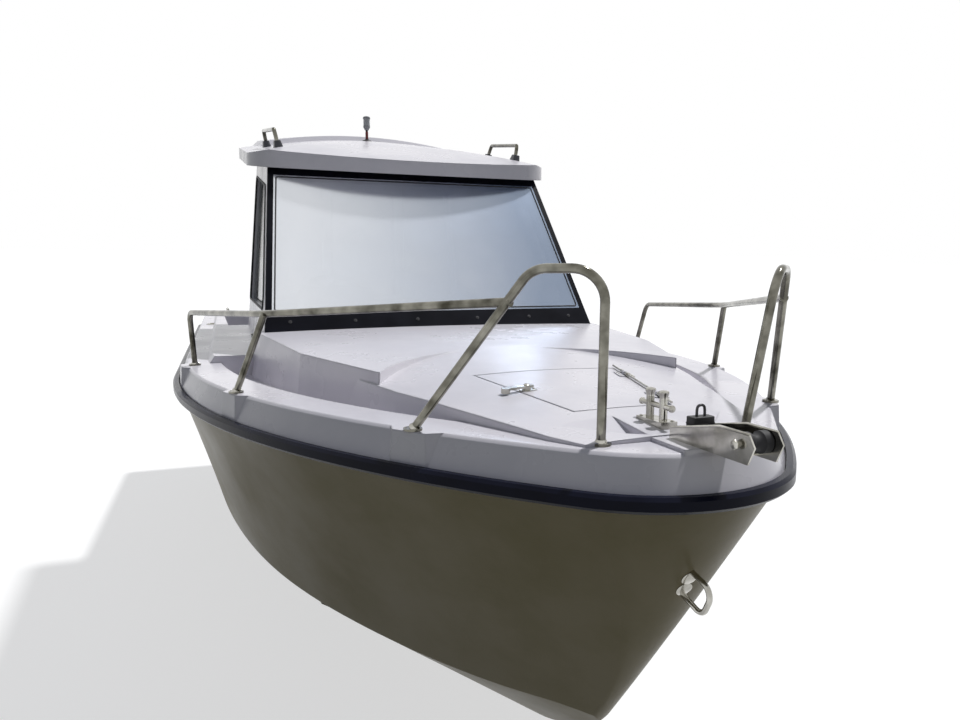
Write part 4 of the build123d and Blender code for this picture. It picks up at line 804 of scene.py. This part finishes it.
def dress_helm():
    axis = Vector((0, math.cos(WHEEL_TILT), math.sin(WHEEL_TILT)))
    wheel = DECK @ upright((HELM_X, WHEEL_Y, WHEEL_Z), axis, (0, 0, 1))
    hub = [(0.035, 0.010), (0.035, 0.014), (0.031, 0.020), (0.022, 0.024), (0.021, 0.0225),
           (0.012, 0.0265), (0, 0.0275)]
    piece("wheel_hub_cap", turned(hub, 48), light_grey_plastic, "wheel", wheel)
    seam = [(WHEEL_RADIUS * math.cos(t) * 0.924, WHEEL_RADIUS * math.sin(t) * 0.924, 0.0)
            for t in (2 * math.pi * k / 64 for k in range(64))]
    bead("wheel_seam", seam, 0.0012, rubber, "wheel", wheel, closed=True)
    for turn in (90, 210, 330):
        spoke = wheel @ spin(turn, "Z")
        ridge = prism(rectangle(0.078, 0.012, 0.005, 0.095), 0.004, 0.0075, 0.002)
        piece(f"wheel_spoke_inlay_{turn}", ridge, light_grey_plastic, "wheel", spoke, bevel=0.001)
    for number, x in enumerate((-0.105, 0.0, 0.105), 1):
        at = touch("helm_console", (HELM_X + x, 0.80, 0.30), (0, -0.75, -0.32), (0, 0, 1))
        bezel = [(0.046, -0.002), (0.046, 0.006), (0.043, 0.0095), (0.0385, 0.0098), (0.0375, 0.0045),
                 (0.0375, 0.002)]
        piece(f"gauge_bezel_{number}", turned(bezel, 48), stainless, "boat", at)
        face = [(0.0385, 0.002), (0.0385, 0.0035), (0, 0.0037)]
        piece(f"gauge_face_{number}", turned(face, 48), frame_black, "boat", at)
        for tick in range(11):
            long_tick = tick % 5 == 0
            mark = prism(rectangle(0.009 if long_tick else 0.005, 0.0012, 0.0004), 0.0036, 0.0041)
            piece(f"gauge_tick_{number}_{tick}", mark, light_grey_plastic, "boat",
                  at @ spin(225 - 27 * tick, "Z") @ shift(0.031, 0, 0))
        blade = ((-0.006, -0.0014, 0), (0.027, -0.0004, 0), (0.027, 0.0004, 0), (-0.006, 0.0014, 0))
        needle = prism([Vector(p) for p in blade], 0.0045, 0.0055)
        piece(f"gauge_needle_{number}", needle, red_plastic, "boat", at @ spin(220 - 40 * number, "Z"))
        boss = [(0.0042, 0.004), (0.0042, 0.0065), (0, 0.0072)]
        piece(f"gauge_cap_{number}", turned(boss), black_plastic, "boat", at)
    panel = touch("helm_console", (HELM_X, 0.9, -0.20), (0, -1, 0), (0, 0, 1))
    plate = prism(rectangle(0.260, 0.110, 0.010), -0.001, 0.004, 0.001)
    piece("switch_panel", plate, black_plastic, "boat", panel, bevel=0.001)
    for column in range(6):
        x = -0.095 + 0.038 * column
        rocker = prism(rectangle(0.020, 0.042, 0.003, x, 0.012), 0.003, 0.0095, 0.0022)
        piece(f"rocker_switch_{column + 1}", rocker, rubber, "boat", panel, bevel=0.0012)
        lamp = [(0.0035, 0.003), (0.0035, 0.0055), (0.002, 0.0062), (0, 0.0064)]
        piece(f"switch_lamp_{column + 1}", turned(lamp, 16), red_lens, "boat", panel @ shift(x, -0.030, 0))
    for x in (-0.120, 0.120):
        for y in (-0.046, 0.046):
            screw(panel @ shift(x, y, 0.004), "boat", 0.0022)


THROTTLE_X = -0.235


def dress_throttle():
    at = touch("helm_console", (THROTTLE_X, 0.33, 0.3), (0, 0, -1))
    box = prism(rectangle(0.064, 0.130, 0.018), -0.001, 0.062, 0.007)
    piece("throttle_box", box, black_plastic, "boat", at, bevel=0.004)
    boss = [(0.024, 0), (0.024, 0.008), (0.020, 0.012), (0, 0.0125)]
    piece("throttle_boss", turned(boss), stainless, "boat",
          at @ shift(-0.028, 0, 0.038) @ spin(-90, "Y"))
    arm = [(-0.037, 0, 0.038), (-0.039, -0.012, 0.090), (-0.037, -0.026, 0.140), (-0.034, -0.032, 0.156)]
    bead("throttle_arm", arm, 0.0055, stainless, "boat", at, soft=True)
    grip = [(0.009, -0.032), (0.012, -0.028), (0.0135, 0), (0.012, 0.028), (0.009, 0.032)]
    piece("throttle_grip", turned(grip), rubber, "boat",
          at @ shift(-0.030, -0.032, 0.160) @ spin(90, "Y"))


# Sole: panels of raised tread, level with the water
SOLE_Z = 0.100
TREAD_PANELS = (("cabin_aisle", -0.165, 0.165, -0.35, 0.95), ("cockpit_port", 0.02, 0.74, 1.19, 1.86),
                ("cockpit_starboard", -0.74, -0.02, 1.19, 1.86))


def dress_sole():
    for name, x0, x1, y0, y1 in TREAD_PANELS:
        outline = rectangle(x1 - x0, y1 - y0, 0.04, (x0 + x1) / 2, (y0 + y1) / 2)
        panel = prism(outline, SOLE_Z - 0.001, SOLE_Z + 0.002, 0.002)
        piece(f"tread_{name}", panel, tread_gelcoat, "boat", Matrix())


# Outboard engine, in the water-level frame at the transom's cut-out
ENGINE = shift(0, 2.91942, 0.25169)
COWL_Z = 0.210


def dress_engine():
    seam = rounded([(-0.167, 0.030, 0), (0.167, 0.030, 0), (0.167, 0.570, 0), (-0.167, 0.570, 0)], 0.120, 10)
    seam = [p + Vector((0, 0, COWL_Z + 0.002)) for p in seam]
    bead("cowl_seam", seam, 0.0055, rubber, "engine", ENGINE, closed=True)
    latch = touch("engine_cowl", (0, 1.2, COWL_Z + 0.045), (0, -1, 0), (0, 0, 1), ENGINE)
    grip = prism(rectangle(0.050, 0.070, 0.010), -0.004, 0.014, 0.004)
    piece("cowl_latch", grip, black_plastic, "engine", latch, bevel=0.003)
    for side in (1, -1):
        for place, z in (("upper", -0.080), ("lower", -0.220)):
            head = [(0.013, 0), (0.013, 0.003), (0.0105, 0.003), (0.0105, 0.012), (0, 0.0125)]
            at = touch("engine_bracket", (side * 0.30, -0.012, z), (-side, 0, 0), (0, 0, 1), ENGINE)
            piece(f"bracket_bolt_{named(side)}_{place}", turned(head, 6), stainless, "boat", at)
        grille = touch("gearcase", (side * 0.30, 0.27, -0.735), (-side, 0, 0), (0, 0, 1), ENGINE)
        for row in range(4):
            bar = prism(rectangle(0.034, 0.0035, 0.0015, 0, -0.012 + 0.008 * row), -0.001, 0.0022, 0.0006)
            piece(f"water_intake_{named(side)}_{row + 1}", bar, black_plastic, "engine", grille)
    anode = prism(rectangle(0.050, 0.100, 0.012, 0, 0.455), -0.656, -0.641, 0.003)
    piece("anode", anode, cast_aluminium, "engine", ENGINE, bevel=0.003)
    nose = [(0.0395, 0), (0.040, 0.004), (0.030, 0.022), (0.014, 0.031), (0, 0.033)]
    piece("propeller_nut", turned(nose), cast_aluminium, "propeller",
          ENGINE @ shift(0, 0.671, -0.805) @ spin(-90, "X"))


# Cushions
def crowned_pad(name, width, length, thick, swell):
    """Closed pad on the plane Z = 0, blown up as cloth by pressure, its foot kept flat."""
    tight = swell * 0.5
    bm = bmesh.new()
    bmesh.ops.create_cube(bm, size=1.0)
    bmesh.ops.scale(bm, vec=(width - 2 * tight, length - 2 * tight, thick - tight), verts=bm.verts)
    bmesh.ops.translate(bm, vec=(0, 0, (thick - tight) / 2), verts=bm.verts)
    bmesh.ops.bevel(bm, geom=bm.edges, offset=0.35 * thick, segments=4, profile=0.6, affect="EDGES")
    mesh = bpy.data.meshes.new(name)
    bm.to_mesh(mesh)
    bm.free()
    pad = bpy.data.objects.new(name, mesh)
    bpy.context.scene.collection.objects.link(pad)
    grid = pad.modifiers.new("grid", "REMESH")
    grid.mode = "VOXEL"
    grid.voxel_size = PAD_VOXEL
    apply_modifiers(pad)
    start = [v.co.copy() for v in pad.data.vertices]
    blow_up(pad)
    for vertex, was in zip(pad.data.vertices, start):
        moved = vertex.co - was
        if moved.length > swell:
            moved *= swell / moved.length
        place = was + moved
        crown = 0
        place.z += max(crown, 0) * swell * 0.5 * (place.z > thick / 2)
        vertex.co = (min(max(place.x, -width / 2), width / 2), min(max(place.y, -length / 2), length / 2),
                     min(max(place.z, 0.0), thick))
    return pad


def apply_modifiers(obj):
    """Keeps the shape that an object's modifiers give, and drops them."""
    shape = obj.evaluated_get(bpy.context.evaluated_depsgraph_get())
    mesh = bpy.data.meshes.new_from_object(shape)
    obj.modifiers.clear()
    obj.data = mesh


def blow_up(pad):
    cloth = pad.modifiers.new("cover", "CLOTH")
    cloth.settings.quality = 6
    cloth.settings.mass = 0.3
    cloth.settings.tension_stiffness = 20
    cloth.settings.compression_stiffness = 20
    cloth.settings.bending_stiffness = 0.6
    cloth.settings.use_pressure = True
    cloth.settings.uniform_pressure_force = 4.0
    cloth.settings.effector_weights.gravity = 0.0
    cloth.point_cache.frame_start = 1
    cloth.point_cache.frame_end = CLOTH_FRAMES
    for step in range(1, CLOTH_FRAMES + 1):
        bpy.context.scene.frame_set(step)
    apply_modifiers(pad)
    bpy.context.scene.frame_set(1)


PAD_VOXEL = 0.007
CLOTH_FRAMES = 20
GROOVE_DEPTH = 0.007
GROOVE_WIDTH = 0.008


def cushion(name, at, width, length, thick, swell, channels, body):
    """A padded cushion with sewn channels across it, piping round it and stitches in the channels."""
    pad = crowned_pad(name, width, length, thick, swell)
    for vertex in pad.data.vertices:
        near = min((abs(vertex.co.x - x) for x in channels), default=1.0)
        if vertex.co.z > thick * 0.35:
            vertex.co.z -= GROOVE_DEPTH * math.exp(-(near / GROOVE_WIDTH) ** 2)
    pad.data.shade_smooth()
    pad.modifiers.new("smooth", "SUBSURF").levels = 1
    pad.modifiers["smooth"].render_levels = 1
    pad.data.materials.append(fabric)
    pad.matrix_world = at
    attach(pad, body)
    seam_height = thick * 0.72
    seam = []
    for point in rectangle(width * 1.6, length * 1.6, 0.12, 0, 0):
        target = Vector((point.x * 0.5, point.y * 0.5, seam_height))
        start = Vector((point.x, point.y, seam_height))
        seam.append((start, (target - start).normalized()))
    dense = []
    for (a, _), (b, _) in zip(seam, seam[1:] + seam[:1]):
        for step in range(12):
            start = a.lerp(b, step / 12)
            inner_x = min(max(start.x, -width * 0.4), width * 0.4)
            inner_y = min(max(start.y, -length * 0.3), length * 0.3)
            toward = Vector((inner_x, inner_y, seam_height)) - start
            found, place, _, _ = pad.ray_cast(start, toward.normalized())
            if found:
                dense.append(place + toward.normalized() * 0.0012)
    bead(f"{name}_piping", dense, 0.0034, piping_vinyl, body, at, closed=True)
    for number, x in enumerate(channels, 1):
        stitches(f"{name}_stitching_{number}", pad, x, length, thick, body, at)
    return pad


def stitches(name, pad, x, length, thick, body, at):
    """Thread laid in dashes along the floor of one sewn channel."""
    bm = bmesh.new()
    pitch, dash, radius = 0.0085, 0.0058, 0.0009
    count = int(length * 0.86 / pitch)
    for k in range(count):
        y = (k - (count - 1) / 2) * pitch
        ends = []
        for end in (-dash / 2, dash / 2):
            found, place, _, _ = pad.ray_cast(Vector((x, y + end, thick * 2)), Vector((0, 0, -1)))
            if found:
                ends.append(place)
        if len(ends) < 2:
            continue
        turn = upright((ends[0] + ends[1]) / 2 + Vector((0, 0, radius * 0.3)), ends[1] - ends[0], (1, 0, 0))
        bmesh.ops.create_uvsphere(bm, u_segments=8, v_segments=5, radius=1.0,
                                  matrix=turn @ Matrix.Diagonal((radius, radius, dash / 2, 1)))
    piece(name, bm, thread, body, at)


# Seat cushions, in the deck frame
SEAT_Y = 1.010
SEAT_TOP_Z = -0.3147
BACK_FRONT_Y = 1.1997


def dress_seats():
    for name, x in (("helm", HELM_X), ("passenger", -HELM_X)):
        seat_at = DECK @ shift(x, SEAT_Y - 0.015, SEAT_TOP_Z)
        seat = cushion(f"{name}_seat_pad", seat_at, 0.430, 0.390, 0.090, 0.014, (-0.075, 0.075), "boat")
        back_at = DECK @ upright((x, BACK_FRONT_Y, -0.030), (0, -1, 0), (0, 0, 1))
        back = cushion(f"{name}_back_pad", back_at, 0.400, 0.300, 0.064, 0.012, (-0.07, 0.07), "boat")
        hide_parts(f"{name}_cushions")
        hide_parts(f"{name}_cushions")
    bench_at = DECK @ shift(0, 2.930, -0.3224)
    bench = cushion("bench_pad", bench_at, 1.560, 0.260, 0.067, 0.012, (-0.52, -0.26, 0.0, 0.26, 0.52),
                    "locker_lid")
    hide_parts("bench_cushion")


dress_windscreen()
dress_side_windows()
dress_hatch()
dress_pulpits()
dress_roof_handles()
dress_masthead_light()
dress_bow()
dress_bow_eye()
dress_side_lights()
dress_stern()
dress_door()
dress_helm()
dress_throttle()
dress_sole()
dress_engine()
dress_seats()


# Camera, where the photograph was taken from: low off the starboard bow
camera_data = bpy.data.cameras.new("camera")
camera_data.lens = 27.0
camera_data.sensor_width = 36.0
camera = bpy.data.objects.new("camera", camera_data)
bpy.context.scene.collection.objects.link(camera)
ahead = Vector((0.3509, 0.9287, -0.1201)).normalized()
right = ahead.cross(Vector((0, 0, 1))).normalized()
aim = Matrix((right, right.cross(ahead), -ahead)).transposed().to_4x4()
camera.matrix_world = DECK @ shift(-1.03, -3.26, 0.24) @ aim
bpy.context.scene.camera = camera


# Floor and light
FLOOR_GAP = 0.012
floor_mesh = bpy.data.meshes.new("floor")
floor_z = cad_box[0].z - FLOOR_GAP
FLOOR_HALF = 60.0
floor_mesh.from_pydata([(x, y, floor_z) for x, y in ((-FLOOR_HALF, -FLOOR_HALF), (FLOOR_HALF, -FLOOR_HALF),
                                                     (FLOOR_HALF, FLOOR_HALF), (-FLOOR_HALF, FLOOR_HALF))],
                       [], [(0, 1, 2, 3)])
floor = bpy.data.objects.new("floor", floor_mesh)
bpy.context.scene.collection.objects.link(floor)
floor_paint, floor_tree, floor_shader = new_material("pale_studio_floor", Roughness=0.9)
floor_mesh.materials.append(floor_paint)


def shown_rays(tree):
    """1 for the rays that show the background: to the camera, in gloss and through glass."""
    path = add(tree, "ShaderNodeLightPath")
    shown = add(tree, "ShaderNodeMath", {0: path.outputs["Is Camera Ray"], 1: path.outputs["Is Glossy Ray"]},
                operation="MAXIMUM")
    shown = add(tree, "ShaderNodeMath", {0: shown.outputs["Value"], 1: path.outputs["Is Transmission Ray"]},
                operation="MAXIMUM")
    return shown.outputs["Value"]


# The floor throws back the light of a grey one and shows as white, with the boat's shadow on it
floor_shown = shown_rays(floor_tree)
floor_colour = ramp_stops(add(floor_tree, "ShaderNodeValToRGB", {"Fac": floor_shown}),
                          [(0.0, "#7c7e76"), (1.0, "#aaaaaa")])
floor_tree.links.new(floor_colour, floor_shader.inputs["Base Color"])
FLOOR_GLOW = 0.62
floor_glow = add(floor_tree, "ShaderNodeMath", {0: floor_shown, 1: FLOOR_GLOW}, operation="MULTIPLY")
floor_shader.inputs["Emission Color"].default_value = linear("#ffffff")
floor_tree.links.new(floor_glow.outputs["Value"], floor_shader.inputs["Emission Strength"])

sun_data = bpy.data.lights.new("sun_port_quarter", "SUN")
sun_data.energy = 3.0
sun_data.angle = math.radians(3)
sun = bpy.data.objects.new("sun_port_quarter", sun_data)
sun.rotation_euler = Vector((0.62, 0.26, 1.2)).to_track_quat("Z", "Y").to_euler()
bpy.context.scene.collection.objects.link(sun)

world = bpy.data.worlds.new("studio")
bpy.context.scene.world = world
world.use_nodes = True
sky = world.node_tree
background = sky.nodes["Background"]
sky_shown = shown_rays(sky)
SKY_FILL = 0.22
strength = add(sky, "ShaderNodeMapRange", {"Value": sky_shown, "To Min": SKY_FILL, "To Max": 1.0})
sky_colour = ramp_stops(add(sky, "ShaderNodeValToRGB", {"Fac": sky_shown}),
                        [(0.0, "#dde5f6"), (1.0, "#ffffff")])
sky.links.new(strength.outputs["Result"], background.inputs["Strength"])
sky.links.new(sky_colour, background.inputs["Color"])

bpy.context.scene.view_settings.view_transform = "Standard"
